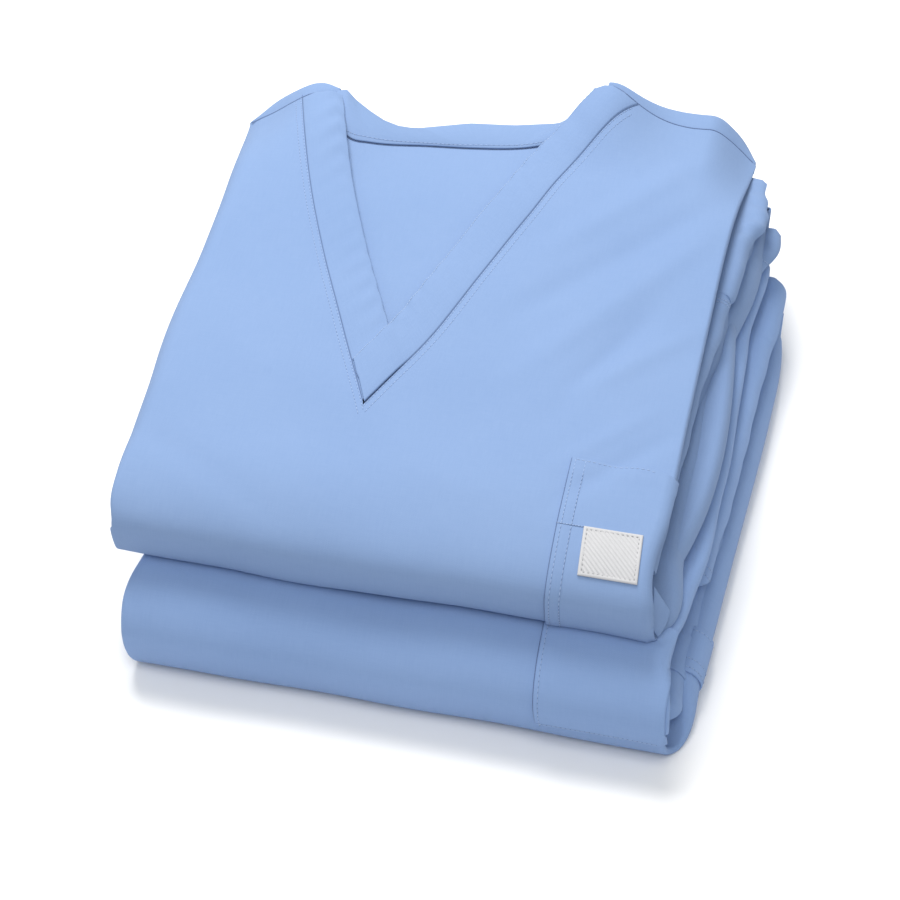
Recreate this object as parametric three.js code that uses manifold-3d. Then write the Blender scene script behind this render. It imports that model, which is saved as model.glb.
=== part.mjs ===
/**
 * A folded patient gown lying on the folded trousers that go with it.
 *
 * Millimetres, +Z up. +X runs across the bundle, -Y is the folded front
 * edge and +Y the shoulder end. The origin is the centre of the bottom of
 * the bounding box. Every sheet of cloth goes once round a front fold, so
 * it is made as an upper and a lower half that meet at a parting plane.
 */
import * as THREE from 'three';
import { mergeVertices } from 'three/addons/utils/BufferGeometryUtils.js';
import Module from 'manifold-3d';

const wasm = await Module();
wasm.setup();

// ---------------------------------------------------------------- sizes
const PLY_GAP = 0.3; // clearance between layers of cloth that touch
const ROLL_STEPS = 10; // straight steps in a quarter of a rolled fold
const CURVE_STEPS = 8; // straight steps in a curved seam

/** The trousers, folded once across the legs. */
const TROUSERS = {
  front: -205,
  back: 136,
  bottom: 0,
  parting: 30,
  top: 60,
  outerPly: 14.7, // loft of the outer leg panel
  upperRoll: 48, // how far back the upper half of the front fold reaches
  lowerRoll: 16,
  left: -149,
};
const LEG_EDGES = { // right-hand folded edge of each layer
  outerUpper: 153,
  innerUpper: 161,
  innerLower: 158,
  outerLower: 169,
};
const LEG_INSET = 4; // how far the inner leg layers stop short at the left
const WAISTBAND = { depth: 34, inset: 8 };
const LEG_HEM = { width: 26, length: 120, front: -160 };
const THIGH_POCKET = { left: 77, right: 146, rise: 46, drop: 12, thickness: 1.2 };

/** The gown, folded once across the body and laid on the trousers. */
const GOWN = {
  front: -176,
  bottom: TROUSERS.top + PLY_GAP,
  parting: 84,
  top: 108,
  outerPly: 8, // loft of the front panel
  upperRoll: 60,
  lowerRoll: 16,
};
const GOWN_PLAN = { // outline of the front panel seen from above
  frontLeft: -162,
  backLeft: -175,
  frontRight: 129,
  backRight: 135,
  backLeftDepth: 160,
  backRightDepth: 187,
};
const BACK_PANEL = { inset: 5, rightOverhang: 5, loft: 7.7, shortening: 4 };
const LOWER_BACK_PANEL = { inset: 5, rightOverhang: 4, shortening: 12 };
const LOWER_PANEL = { inset: 3, rightOverhang: 11, loft: 11.7, shortening: 26 };
const GOWN_HEM = { depth: 20, rightOverhang: 24 };
const SLEEVE = { length: 118, front: 34, overhang: 13, slack: 0.45, width: 104 };

const SIDE_FOLD = { overlap: 6, inset: 7, rightOverhang: 1 };

/** The V neck: seam lines of the band and where the two sides meet. */
const NECK = {
  leftTop: [-142, 172],
  leftBow: [-113, 44],
  rightTop: [67, 203],
  point: [-45, -73],
  bandWidth: 25,
  bandLoft: 5,
};
const OPENING_REACH = 60; // how far the V is carried on past the shoulder line
const BACK_NECK_BAND = { width: 18, loft: 7.4 };
const SHOULDER = { // back panel rolled over each shoulder seam
  depth: 15,
  leftNeckHeight: 118,
  rightNeckHeight: 126,
  leftEndHeight: 91,
  rightEndHeight: 93,
  leftLap: 5, // how far past the neck band each shoulder runs
  rightLap: 4,
};

/** Patch pocket that runs from the top of the gown round the front fold. */
const POCKET = {
  left: 73,
  right: 127,
  mouth: GOWN.front + 83,
  thickness: 1.2,
  placketWidth: 12,
  placketThickness: 0.9,
  lowerDrop: 20,
  barTackLength: 12,
  barTackWidth: 2,
};
const LABEL = {
  width: 31,
  back: GOWN.front + 43,
  front: GOWN.front + 14,
  thickness: 1.3,
  inset: 3,
};

// ------------------------------------------------------------- finishes
const gownCloth = new THREE.MeshStandardMaterial({ color: 0x93afde, roughness: 0.86, metalness: 0 });
const gownTrim = new THREE.MeshStandardMaterial({ color: 0x8ba8d9, roughness: 0.86, metalness: 0 });
const trouserCloth = new THREE.MeshStandardMaterial({ color: 0x7ea2d6, roughness: 0.86, metalness: 0 });
const labelCloth = new THREE.MeshStandardMaterial({ color: 0xf2f3f5, roughness: 0.7, metalness: 0 });

// ------------------------------------------------------- solid helpers
const ALONG_X = new THREE.Matrix4().makeBasis(
  new THREE.Vector3(0, 1, 0),
  new THREE.Vector3(0, 0, 1),
  new THREE.Vector3(1, 0, 0),
);

/** Extrudes an outline of [a, b] points by a depth. */
function extrude(outline, depth) {
  const shape = new THREE.Shape(outline.map(([a, b]) => new THREE.Vector2(a, b)));
  return new THREE.ExtrudeGeometry(shape, { depth, bevelEnabled: false });
}

/** A prism standing on an outline in the XY plane. */
function upright(outline, low, high) {
  return extrude(outline, high - low).translate(0, 0, low);
}

/** A prism along X on an outline in the YZ plane. */
function acrossX(outline, left, right) {
  return extrude(outline, right - left).applyMatrix4(ALONG_X).translate(left, 0, 0);
}

/** Turns a closed geometry into a solid that can be cut. */
function solid(geometry) {
  const bare = geometry.clone();
  bare.deleteAttribute('normal');
  bare.deleteAttribute('uv');
  const merged = mergeVertices(bare, 1e-4);
  return new wasm.Manifold(new wasm.Mesh({
    numProp: 3,
    vertProperties: new Float32Array(merged.attributes.position.array),
    triVerts: new Uint32Array(merged.index.array),
  }));
}

/** Turns a cut solid back into a geometry. */
function geometryOf(body) {
  const mesh = body.getMesh();
  const geometry = new THREE.BufferGeometry();
  geometry.setAttribute('position', new THREE.BufferAttribute(mesh.vertProperties, 3));
  geometry.setIndex(new THREE.BufferAttribute(mesh.triVerts, 1));
  geometry.computeVertexNormals();
  return geometry;
}

/** A point of a straight line at a given X. */
function onLine([x0, y0], [x1, y1], x) {
  return y0 + ((y1 - y0) * (x - x0)) / (x1 - x0);
}

// ------------------------------------------------------ the front folds
/**
 * One half of a front fold, as an elliptical quarter between the parting
 * plane and the flat outer face. `side` is 1 above the parting, -1 below.
 */
function foldHalf(garment, side) {
  return {
    side,
    front: garment.front,
    start: garment.parting + (side * PLY_GAP) / 2,
    reach: side > 0 ? garment.upperRoll : garment.lowerRoll,
    rise: side > 0 ? garment.top - garment.parting - PLY_GAP / 2
      : garment.parting - garment.bottom - PLY_GAP / 2,
  };
}

/** Points of a fold raised off its face by `lift`, from `turn0` to `turn1`. */
function foldArc(fold, lift, turn0 = 0, turn1 = Math.PI / 2) {
  const points = [];
  for (let i = 0; i <= ROLL_STEPS; i += 1) {
    const turn = turn0 + ((turn1 - turn0) * i) / ROLL_STEPS;
    const y = fold.front + fold.reach - (fold.reach + lift) * Math.cos(turn);
    const z = fold.start + fold.side * (fold.rise + lift) * Math.sin(turn);
    points.push([y, z]);
  }
  return points;
}

/** The turn at which a fold has come back to a given Y. */
function turnAt(fold, y) {
  return Math.acos(Math.min(1, Math.max(-1, (fold.front + fold.reach - y) / fold.reach)));
}

/** Outline of a layer that follows a fold and runs back to `back`. */
function layerOutline(fold, back, loft, depthBelow = 0) {
  const outer = foldArc(fold, -depthBelow);
  const inner = foldArc(fold, -depthBelow - loft);
  const outerFace = outer.at(-1)[1];
  const innerFace = inner.at(-1)[1];
  return [...outer, [back, outerFace], [back, innerFace], ...inner.reverse()];
}

/** Outline of all that lies inside a fold, `depthBelow` under its face. */
function coreOutline(fold, back, depthBelow) {
  const arc = foldArc(fold, -depthBelow);
  return [...arc, [back, arc.at(-1)[1]], [back, fold.start]];
}

/** Outline of a skin laid on a fold, between two turns of it. */
function skinOutline(fold, lift, thickness, turn0, turn1, flatBack) {
  const outer = foldArc(fold, lift + thickness, turn0, turn1);
  const inner = foldArc(fold, lift, turn0, turn1);
  const ends = flatBack === undefined ? []
    : [[flatBack, outer.at(-1)[1]], [flatBack, inner.at(-1)[1]]];
  return [...outer, ...ends, ...inner.reverse()];
}

/** Outline of a slab whose front end is rounded like the fold it fills. */
function slabOutline(front, back, low, high) {
  const middle = (low + high) / 2;
  const radius = (high - low) / 2;
  const nose = [];
  for (let i = 0; i <= ROLL_STEPS; i += 1) {
    const turn = (Math.PI * i) / ROLL_STEPS - Math.PI / 2;
    nose.push([front + radius - radius * Math.cos(turn), middle + radius * Math.sin(turn)]);
  }
  return [...nose, [back, high], [back, low]];
}

const gownUpperFold = foldHalf(GOWN, 1);
const gownLowerFold = foldHalf(GOWN, -1);
const legUpperFold = foldHalf(TROUSERS, 1);
const legLowerFold = foldHalf(TROUSERS, -1);

// -------------------------------------------------------------- the gown
/** Plan outline of a gown layer, with its edges moved by the given amounts. */
function gownPlan({ inset = 0, rightOverhang = 0, shortening = 0 }) {
  const p = GOWN_PLAN;
  return [
    [p.frontLeft + inset, GOWN.front - 1],
    [p.frontRight + rightOverhang, GOWN.front - 1],
    [p.backRight + rightOverhang, p.backRightDepth - shortening],
    [p.backLeft + inset, p.backLeftDepth - shortening],
  ];
}

/** A gown layer: a fold outline cut to the plan of the gown, between two heights. */
function gownLayer(outline, plan, low = 0, high = GOWN.top * 2) {
  const { frontLeft, backLeft, frontRight, backRight } = GOWN_PLAN;
  const left = Math.min(frontLeft, backLeft) - 60;
  const right = Math.max(frontRight, backRight) + 60;
  return solid(acrossX(outline, left, right))
    .intersect(solid(upright(gownPlan(plan), low, high)));
}

/** Seam line of the left side of the V, from the shoulder to the point. */
function leftNeckSeam() {
  const curve = new THREE.QuadraticBezierCurve(
    new THREE.Vector2(...NECK.leftTop),
    new THREE.Vector2(...NECK.leftBow),
    new THREE.Vector2(...NECK.point),
  );
  return curve.getPoints(CURVE_STEPS).map((p) => [p.x, p.y]);
}

/** Seam line of the right side of the V, from the shoulder to the point. */
function rightNeckSeam() {
  return [NECK.rightTop, NECK.point];
}

/** A line moved sideways; positive moves it to the right of its direction. */
function offsetLine(line, distance) {
  return line.map((point, i) => {
    const [ax, ay] = line[Math.max(0, i - 1)];
    const [bx, by] = line[Math.min(line.length - 1, i + 1)];
    const length = Math.hypot(bx - ax, by - ay);
    return [
      point[0] + (distance * (by - ay)) / length,
      point[1] - (distance * (bx - ax)) / length,
    ];
  });
}

/** The line carried straight on past its first point. */
function extendedBack(line, distance) {
  const [[x0, y0], [x1, y1]] = line;
  const length = Math.hypot(x1 - x0, y1 - y0);
  return [[x0 - ((x1 - x0) * distance) / length, y0 - ((y1 - y0) * distance) / length], ...line];
}

/** The V that is cut out of the front panel, as an upright prism. */
function neckNotch() {
  const left = extendedBack(leftNeckSeam(), OPENING_REACH);
  const right = extendedBack(rightNeckSeam(), OPENING_REACH).reverse();
  return solid(upright([...left, ...right.slice(1)], GOWN.parting, GOWN.top * 2));
}

/** Keeps a piece in front of the shoulder seam line. */
function aheadOfShoulders(clearance) {
  const p = GOWN_PLAN;
  const reach = 80;
  const line = ([x0, y0], [x1, y1], x) => [x, onLine([x0, y0], [x1, y1], x) - clearance];
  const a = [p.backLeft, p.backLeftDepth];
  const b = [p.backRight, p.backRightDepth];
  return solid(upright([
    [p.backLeft - reach, GOWN.front - reach],
    [p.backRight + reach, GOWN.front - reach],
    line(a, b, p.backRight + reach),
    line(a, b, p.backLeft - reach),
  ], 0, GOWN.top * 2));
}

const farBack = GOWN_PLAN.backRightDepth + 30; // past the end of every layer

function gownFrontUpper() {
  const outline = layerOutline(gownUpperFold, farBack, GOWN.outerPly);
  return gownLayer(outline, {}).subtract(neckNotch());
}

const upperInnerTop = GOWN.top - GOWN.outerPly - PLY_GAP;
const backPanelLow = upperInnerTop - BACK_PANEL.loft;

function gownBackUpper() {
  const outline = coreOutline(gownUpperFold, farBack, GOWN.outerPly + PLY_GAP);
  return gownLayer(outline, BACK_PANEL, backPanelLow, upperInnerTop);
}

/** A sleeve folded in flat between the two halves of the gown. */
function sleeve(side) {
  const p = GOWN_PLAN;
  const high = backPanelLow - SLEEVE.slack;
  const low = GOWN.parting + PLY_GAP / 2;
  const outer = side < 0 ? p.backLeft + BACK_PANEL.inset : p.backRight + SLEEVE.overhang;
  const inner = outer - side * SLEEVE.width;
  const [left, right] = side < 0 ? [outer, inner] : [inner, outer];
  return acrossX(
    slabOutline(SLEEVE.front, SLEEVE.front + SLEEVE.length, low, high),
    left,
    right,
  );
}

/** One side of the gown turned in behind it, ahead of the sleeve. */
function sideFold(side) {
  const p = GOWN_PLAN;
  const middle = (p.frontLeft + p.frontRight) / 2;
  const [left, right] = side < 0
    ? [p.frontLeft + SIDE_FOLD.inset, middle - SIDE_FOLD.overlap]
    : [middle + SIDE_FOLD.overlap, p.frontRight + SIDE_FOLD.rightOverhang];
  const under = GOWN.outerPly + BACK_PANEL.loft + 2 * PLY_GAP;
  const outline = coreOutline(gownUpperFold, SLEEVE.front - PLY_GAP, under);
  return acrossX(outline, left, right);
}

function gownBackLower() {
  const outline = coreOutline(gownLowerFold, farBack, LOWER_PANEL.loft + PLY_GAP);
  return gownLayer(outline, LOWER_BACK_PANEL);
}

function gownFrontLower() {
  const outline = layerOutline(gownLowerFold, farBack, LOWER_PANEL.loft);
  return gownLayer(outline, LOWER_PANEL);
}

/** The turned hem at the end of the lower half of the front panel. */
function gownHem() {
  const plan = gownPlan(LOWER_PANEL);
  const [, , right, left] = plan;
  const wide = [right[0] - LOWER_PANEL.rightOverhang + GOWN_HEM.rightOverhang, right[1]];
  const start = PLY_GAP;
  return upright([
    [left[0], left[1] + start],
    [wide[0], onLine(left, right, wide[0]) + start],
    [wide[0], onLine(left, right, wide[0]) + start + GOWN_HEM.depth],
    [left[0], left[1] + start + GOWN_HEM.depth],
  ], GOWN.bottom, GOWN.bottom + LOWER_PANEL.loft);
}

/**
 * An upright strip beside a seam of the V, between two distances from it.
 * `inward` is the sign that turns a distance towards the opening.
 */
function seamStrip(seam, inward, from, to) {
  const line = extendedBack(seam, OPENING_REACH);
  const near = offsetLine(line, inward * from);
  const far = offsetLine(line, inward * to);
  return solid(upright([...near, ...far.reverse()], GOWN.parting, GOWN.top * 2));
}

const INWARD = { left: -1, right: 1 };

/** The two sides of the neck band; the right one crosses over the left. */
function neckBands() {
  const top = solid(upright([
    [GOWN_PLAN.backLeft, GOWN.front],
    [GOWN_PLAN.backRight, GOWN.front],
    [GOWN_PLAN.backRight, farBack],
    [GOWN_PLAN.backLeft, farBack],
  ], GOWN.top - NECK.bandLoft, GOWN.top));
  const ahead = aheadOfShoulders(PLY_GAP);
  const outside = NECK.bandWidth * 4;
  const right = seamStrip(rightNeckSeam(), INWARD.right, PLY_GAP, NECK.bandWidth)
    .subtract(seamStrip(leftNeckSeam(), INWARD.left, -outside, PLY_GAP));
  const left = seamStrip(leftNeckSeam(), INWARD.left, PLY_GAP, NECK.bandWidth)
    .subtract(seamStrip(rightNeckSeam(), INWARD.right, -outside, NECK.bandWidth + PLY_GAP));
  return {
    left: left.intersect(top).intersect(ahead),
    right: right.intersect(top).intersect(ahead),
  };
}

/** The space between the open edges of the neck band, as an upright prism. */
function neckOpening() {
  const reach = NECK.bandWidth + PLY_GAP;
  return neckNotch()
    .subtract(seamStrip(leftNeckSeam(), INWARD.left, -reach, reach))
    .subtract(seamStrip(rightNeckSeam(), INWARD.right, -reach, reach));
}

/** The band across the back of the neck, seen through the V. */
function backNeckBand() {
  const p = GOWN_PLAN;
  const a = [p.backLeft, p.backLeftDepth];
  const b = [p.backRight, p.backRightDepth];
  const edge = (x, back) => [x, onLine(a, b, x) - PLY_GAP - back];
  const low = upperInnerTop + PLY_GAP;
  return solid(upright([
    edge(p.backLeft, BACK_NECK_BAND.width),
    edge(p.backRight, BACK_NECK_BAND.width),
    edge(p.backRight, 0),
    edge(p.backLeft, 0),
  ], low, low + BACK_NECK_BAND.loft)).intersect(neckOpening());
}

/** The back panel rolled forward over a shoulder seam. */
function shoulder(side) {
  const p = GOWN_PLAN;
  const a = [p.backLeft, p.backLeftDepth];
  const b = [p.backRight, p.backRightDepth];
  const end = side < 0 ? p.backLeft : p.backRight;
  const neck = side < 0 ? NECK.leftTop[0] + NECK.bandWidth + SHOULDER.leftLap
    : NECK.rightTop[0] - NECK.bandWidth - SHOULDER.rightLap;
  const endHeight = side < 0 ? SHOULDER.leftEndHeight : SHOULDER.rightEndHeight;
  const neckHeight = side < 0 ? SHOULDER.leftNeckHeight : SHOULDER.rightNeckHeight;
  const low = upperInnerTop + PLY_GAP;
  const seamTop = side < 0 ? NECK.leftTop[0] : NECK.rightTop[0];
  const bottom = GOWN.parting + PLY_GAP / 2;
  const outline = [
    [end, bottom],
    [end, endHeight],
    [seamTop, (neckHeight + GOWN.top) / 2],
    [neck, neckHeight],
    [neck, low],
    [seamTop, bottom],
  ];
  const stand = new THREE.Matrix4().makeBasis(
    new THREE.Vector3(1, 0, 0),
    new THREE.Vector3(0, 0, 1),
    new THREE.Vector3(0, -1, 0),
  );
  const slope = (b[1] - a[1]) / (b[0] - a[0]);
  const shear = new THREE.Matrix4().makeShear(slope, 0, 0, 0, 0, 0);
  const body = extrude(outline, SHOULDER.depth).applyMatrix4(stand);
  const base = a[1] - slope * a[0] + PLY_GAP + SHOULDER.depth;
  return body.applyMatrix4(shear).translate(0, base, 0);
}

// ------------------------------------------------------------ the pocket
const pocketLift = PLY_GAP;
const placketLift = pocketLift + POCKET.thickness + PLY_GAP;

function pocketUpper() {
  return acrossX(
    skinOutline(gownUpperFold, pocketLift, POCKET.thickness, 0, Math.PI / 2, POCKET.mouth),
    POCKET.left,
    POCKET.right,
  );
}

function pocketLower() {
  const turn = Math.asin(Math.min(1, POCKET.lowerDrop / gownLowerFold.rise));
  return acrossX(
    skinOutline(gownLowerFold, pocketLift, POCKET.thickness, 0, turn),
    POCKET.left,
    POCKET.right,
  );
}

function placketUpper() {
  return acrossX(
    skinOutline(gownUpperFold, placketLift, POCKET.placketThickness, 0, Math.PI / 2, POCKET.mouth),
    POCKET.left,
    POCKET.left + POCKET.placketWidth,
  );
}

function placketLower() {
  const turn = Math.asin(Math.min(1, POCKET.lowerDrop / gownLowerFold.rise));
  return acrossX(
    skinOutline(gownLowerFold, placketLift, POCKET.placketThickness, 0, turn),
    POCKET.left,
    POCKET.left + POCKET.placketWidth,
  );
}

/** A skin on the pocket between two depths of the upper fold. */
function pocketPatch(front, back, left, right, lift, thickness) {
  return acrossX(
    skinOutline(gownUpperFold, lift, thickness, turnAt(gownUpperFold, front), turnAt(gownUpperFold, back)),
    left,
    right,
  );
}

function barTack() {
  return pocketPatch(
    LABEL.back - POCKET.barTackWidth / 2,
    LABEL.back + POCKET.barTackWidth / 2,
    POCKET.left,
    POCKET.left + POCKET.barTackLength,
    placketLift + POCKET.placketThickness + PLY_GAP,
    POCKET.placketThickness,
  );
}

function label() {
  const left = POCKET.left + POCKET.placketWidth + LABEL.inset;
  return pocketPatch(LABEL.front, LABEL.back, left, left + LABEL.width, placketLift, LABEL.thickness);
}

// ---------------------------------------------------------- the trousers
const innerLegHigh = TROUSERS.top - TROUSERS.outerPly - PLY_GAP;
const innerLegLow = TROUSERS.bottom + TROUSERS.outerPly + PLY_GAP;

function legOuterUpper() {
  return acrossX(
    layerOutline(legUpperFold, TROUSERS.back, TROUSERS.outerPly),
    TROUSERS.left,
    LEG_EDGES.outerUpper,
  );
}

function legInnerUpper() {
  const back = TROUSERS.back - WAISTBAND.depth - PLY_GAP;
  return acrossX(
    coreOutline(legUpperFold, back, TROUSERS.outerPly + PLY_GAP),
    TROUSERS.left + LEG_INSET,
    LEG_EDGES.innerUpper,
  );
}

/** The gathered waistband, turned in at the back end of the upper half. */
function waistband() {
  return acrossX(
    slabOutline(TROUSERS.back - WAISTBAND.depth, TROUSERS.back, TROUSERS.parting + PLY_GAP / 2, innerLegHigh),
    TROUSERS.left + WAISTBAND.inset,
    LEG_EDGES.innerUpper - WAISTBAND.inset,
  );
}

function legInnerLower() {
  return acrossX(
    coreOutline(legLowerFold, TROUSERS.back, TROUSERS.outerPly + PLY_GAP),
    TROUSERS.left + LEG_INSET,
    LEG_EDGES.innerLower - LEG_HEM.width,
  );
}

function legOuterLower() {
  return acrossX(
    layerOutline(legLowerFold, TROUSERS.back, TROUSERS.outerPly),
    TROUSERS.left,
    LEG_EDGES.outerLower,
  );
}

/** A stitched leg hem, showing at the right-hand edge; `row` counts back. */
function legHem(row) {
  const front = LEG_HEM.front + row * (LEG_HEM.length + PLY_GAP);
  return acrossX(
    slabOutline(front, front + LEG_HEM.length, innerLegLow, TROUSERS.parting - PLY_GAP / 2),
    LEG_EDGES.innerLower - LEG_HEM.width + PLY_GAP,
    LEG_EDGES.innerLower,
  );
}

function thighPocket(fold, drop) {
  const turn = Math.asin(Math.min(1, drop / fold.rise));
  return acrossX(
    skinOutline(fold, PLY_GAP, THIGH_POCKET.thickness, 0, turn),
    THIGH_POCKET.left,
    THIGH_POCKET.right,
  );
}

/** Height on the upper fold that the thigh pocket shows below the gown. */
const thighPocketRise = Math.min(THIGH_POCKET.rise, legUpperFold.rise * 0.9);

// -------------------------------------------------------------- assembly
const gown = new THREE.Group();
const trousers = new THREE.Group();

function add(parent, name, shape, material) {
  const geometry = shape.isBufferGeometry ? shape : geometryOf(shape);
  const mesh = new THREE.Mesh(geometry, material);
  mesh.name = name;
  parent.add(mesh);
}

const bands = neckBands();
add(gown, 'gown_front_upper', gownFrontUpper(), gownCloth);
add(gown, 'gown_back_upper', gownBackUpper(), gownCloth);
add(gown, 'sleeve_left', sleeve(-1), gownCloth);
add(gown, 'sleeve_right', sleeve(1), gownCloth);
add(gown, 'side_fold_left', sideFold(-1), gownCloth);
add(gown, 'side_fold_right', sideFold(1), gownCloth);
add(gown, 'shoulder_left', shoulder(-1), gownCloth);
add(gown, 'shoulder_right', shoulder(1), gownCloth);
add(gown, 'neck_band_left', bands.left, gownTrim);
add(gown, 'neck_band_right', bands.right, gownTrim);
add(gown, 'neck_band_back', backNeckBand(), gownTrim);
add(gown, 'pocket_upper', pocketUpper(), gownCloth);
add(gown, 'pocket_placket_upper', placketUpper(), gownTrim);
add(gown, 'pocket_bar_tack', barTack(), gownTrim);
add(gown, 'blank_label', label(), labelCloth);
add(gown, 'gown_back_lower', gownBackLower(), gownCloth);
add(gown, 'gown_front_lower', gownFrontLower(), gownCloth);
add(gown, 'pocket_lower', pocketLower(), gownCloth);
add(gown, 'pocket_placket_lower', placketLower(), gownTrim);
add(gown, 'gown_hem', gownHem(), gownTrim);

add(trousers, 'leg_outer_upper', legOuterUpper(), trouserCloth);
add(trousers, 'leg_inner_upper', legInnerUpper(), trouserCloth);
add(trousers, 'waistband', waistband(), trouserCloth);
add(trousers, 'thigh_pocket_upper', thighPocket(legUpperFold, thighPocketRise), trouserCloth);
add(trousers, 'leg_inner_lower', legInnerLower(), trouserCloth);
add(trousers, 'leg_outer_lower', legOuterLower(), trouserCloth);
add(trousers, 'leg_hem_left', legHem(0), trouserCloth);
add(trousers, 'leg_hem_right', legHem(1), trouserCloth);
add(trousers, 'thigh_pocket_lower', thighPocket(legLowerFold, THIGH_POCKET.drop), trouserCloth);

/** Sets the whole bundle down with its box centred on the origin. */
const bundle = new THREE.Group();
bundle.add(gown, trousers);
const box = new THREE.Box3().setFromObject(bundle);
bundle.position.set(-(box.min.x + box.max.x) / 2, -(box.min.y + box.max.y) / 2, -box.min.z);

export default bundle;
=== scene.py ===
"""A folded patient gown lying on its folded trousers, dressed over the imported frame.

The gown and the trousers are each folded once round a front fold. Their outer
sheets are single pieces of cloth that run from the back, over the top, round
the fold and back underneath. Bands, pocket, label and stitches are laid on
those sheets in the sheet's own coordinates, so they follow every fold.
"""

from __future__ import annotations

import logging
import math
from dataclasses import dataclass
from enum import Enum
from functools import cached_property
from typing import Callable, Sequence

import bpy
import numpy as np
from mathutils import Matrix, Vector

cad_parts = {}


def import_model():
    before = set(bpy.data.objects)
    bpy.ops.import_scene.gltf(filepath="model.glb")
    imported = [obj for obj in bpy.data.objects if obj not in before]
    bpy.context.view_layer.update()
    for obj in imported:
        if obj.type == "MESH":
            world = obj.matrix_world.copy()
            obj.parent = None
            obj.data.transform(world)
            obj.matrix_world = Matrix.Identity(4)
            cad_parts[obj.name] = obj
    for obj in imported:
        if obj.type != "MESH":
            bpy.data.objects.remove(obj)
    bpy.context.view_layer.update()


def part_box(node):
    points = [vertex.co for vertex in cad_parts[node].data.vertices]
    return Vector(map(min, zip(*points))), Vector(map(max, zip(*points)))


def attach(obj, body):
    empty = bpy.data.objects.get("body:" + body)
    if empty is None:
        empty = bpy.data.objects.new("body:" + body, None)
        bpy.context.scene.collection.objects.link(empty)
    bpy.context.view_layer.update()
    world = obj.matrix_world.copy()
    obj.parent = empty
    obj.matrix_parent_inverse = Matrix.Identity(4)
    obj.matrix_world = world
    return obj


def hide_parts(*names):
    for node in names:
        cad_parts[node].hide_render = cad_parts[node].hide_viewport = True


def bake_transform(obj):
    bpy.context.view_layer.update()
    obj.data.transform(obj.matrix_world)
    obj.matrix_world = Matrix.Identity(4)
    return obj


LOG = logging.getLogger("patient_gown")
MM = 0.001
Array = np.ndarray


# --------------------------------------------------------------- small maths
def smoothstep(value: Array, low: float, high: float) -> Array:
    """0 below low, 1 above high, and smooth between them."""
    t = np.clip((np.asarray(value, float) - low) / (high - low), 0.0, 1.0)
    return t * t * (3.0 - 2.0 * t)


def bump(value: Array, centre: float, width: float) -> Array:
    """A bell of height 1 at centre that has faded at about twice the width."""
    return np.exp(-(((np.asarray(value, float) - centre) / width) ** 2))


def waves(x: Array, y: Array, length: Array, rows: Sequence[tuple[float, float, float, float,
                                                                  float]]) -> Array:
    """A sum of slow waves; each row holds a rise, radians per metre of X, Y and length, and a phase."""
    total = np.zeros(np.broadcast(x, y, length).shape)
    for rise, per_x, per_y, per_length, phase in rows:
        total = total + rise * np.sin(x * per_x + y * per_y + length * per_length + phase)
    return total


class SoftCurve:
    """A smooth curve of one value against another, through a few points."""

    def __init__(self, points: Sequence[tuple[float, float]], onward: bool = False) -> None:
        """Fits the curve.

        Args:
            points: pairs of position and value in millimetres.
            onward: whether the curve runs on straight past its ends, or stays level.
        """
        self.knots = np.array(sorted(points), float) * MM
        self.slopes = np.gradient(self.knots[:, 1], self.knots[:, 0])
        self.onward = onward

    def __call__(self, position: Array) -> Array:
        """The value at each position."""
        x, y, m = self.knots[:, 0], self.knots[:, 1], self.slopes
        p = np.clip(np.asarray(position, float), x[0], x[-1])
        i = np.clip(np.searchsorted(x, p) - 1, 0, len(x) - 2)
        h = x[i + 1] - x[i]
        t = (p - x[i]) / h
        value = (
            (1 + 2 * t) * (1 - t) ** 2 * y[i]
            + t * (1 - t) ** 2 * h * m[i]
            + t * t * (3 - 2 * t) * y[i + 1]
            + t * t * (t - 1) * h * m[i + 1]
        )
        return value + (np.asarray(position, float) - p) * m[i + (t > 0.5)] if self.onward else value


def crease_profile(share: Array, crease: Array | float) -> tuple[Array, Array]:
    """The cross-section of a pressed fold, one unit out and one unit up and down.

    Args:
        share: 0 where the fold starts on its outer face, 1 where it has turned under.
        crease: height of the crease, from 1 at the outer face to -1 at the under face.

    Returns:
        How far out, and how high, each spot is.
    """
    shift, flattening = 0.2, 0.45
    at_crease = 0.5 - shift * np.asarray(crease, float)
    first = np.clip(share / at_crease, 0.0, 1.0)
    second = np.clip((share - at_crease) / (1.0 - at_crease), 0.0, 1.0)
    flat_first, flat_second = flattening * first**2, flattening * (1.0 - second) ** 2
    out = (1 - flat_first) * np.sin(first * math.pi / 2) + flat_first * first
    height = (1 - flat_first) * (crease + (1 - crease) * np.cos(first * math.pi / 2)) + flat_first * (
        1 + (crease - 1) * first)
    under_out = (1 - flat_second) * np.cos(second * math.pi / 2) + flat_second * (1 - second)
    under = (1 - flat_second) * (crease - (1 + crease) * np.sin(second * math.pi / 2)) + flat_second * (
        crease - (1 + crease) * second)
    return np.where(second > 0, under_out, out), np.where(second > 0, under, height)


# ------------------------------------------------------------------ finishes
class Slot(Enum):
    """The material slots that the finishes name."""

    GOWN = "gown_cloth"
    TRIM = "gown_trim"
    TROUSERS = "trouser_cloth"
    LABEL = "label_cloth"


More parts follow.
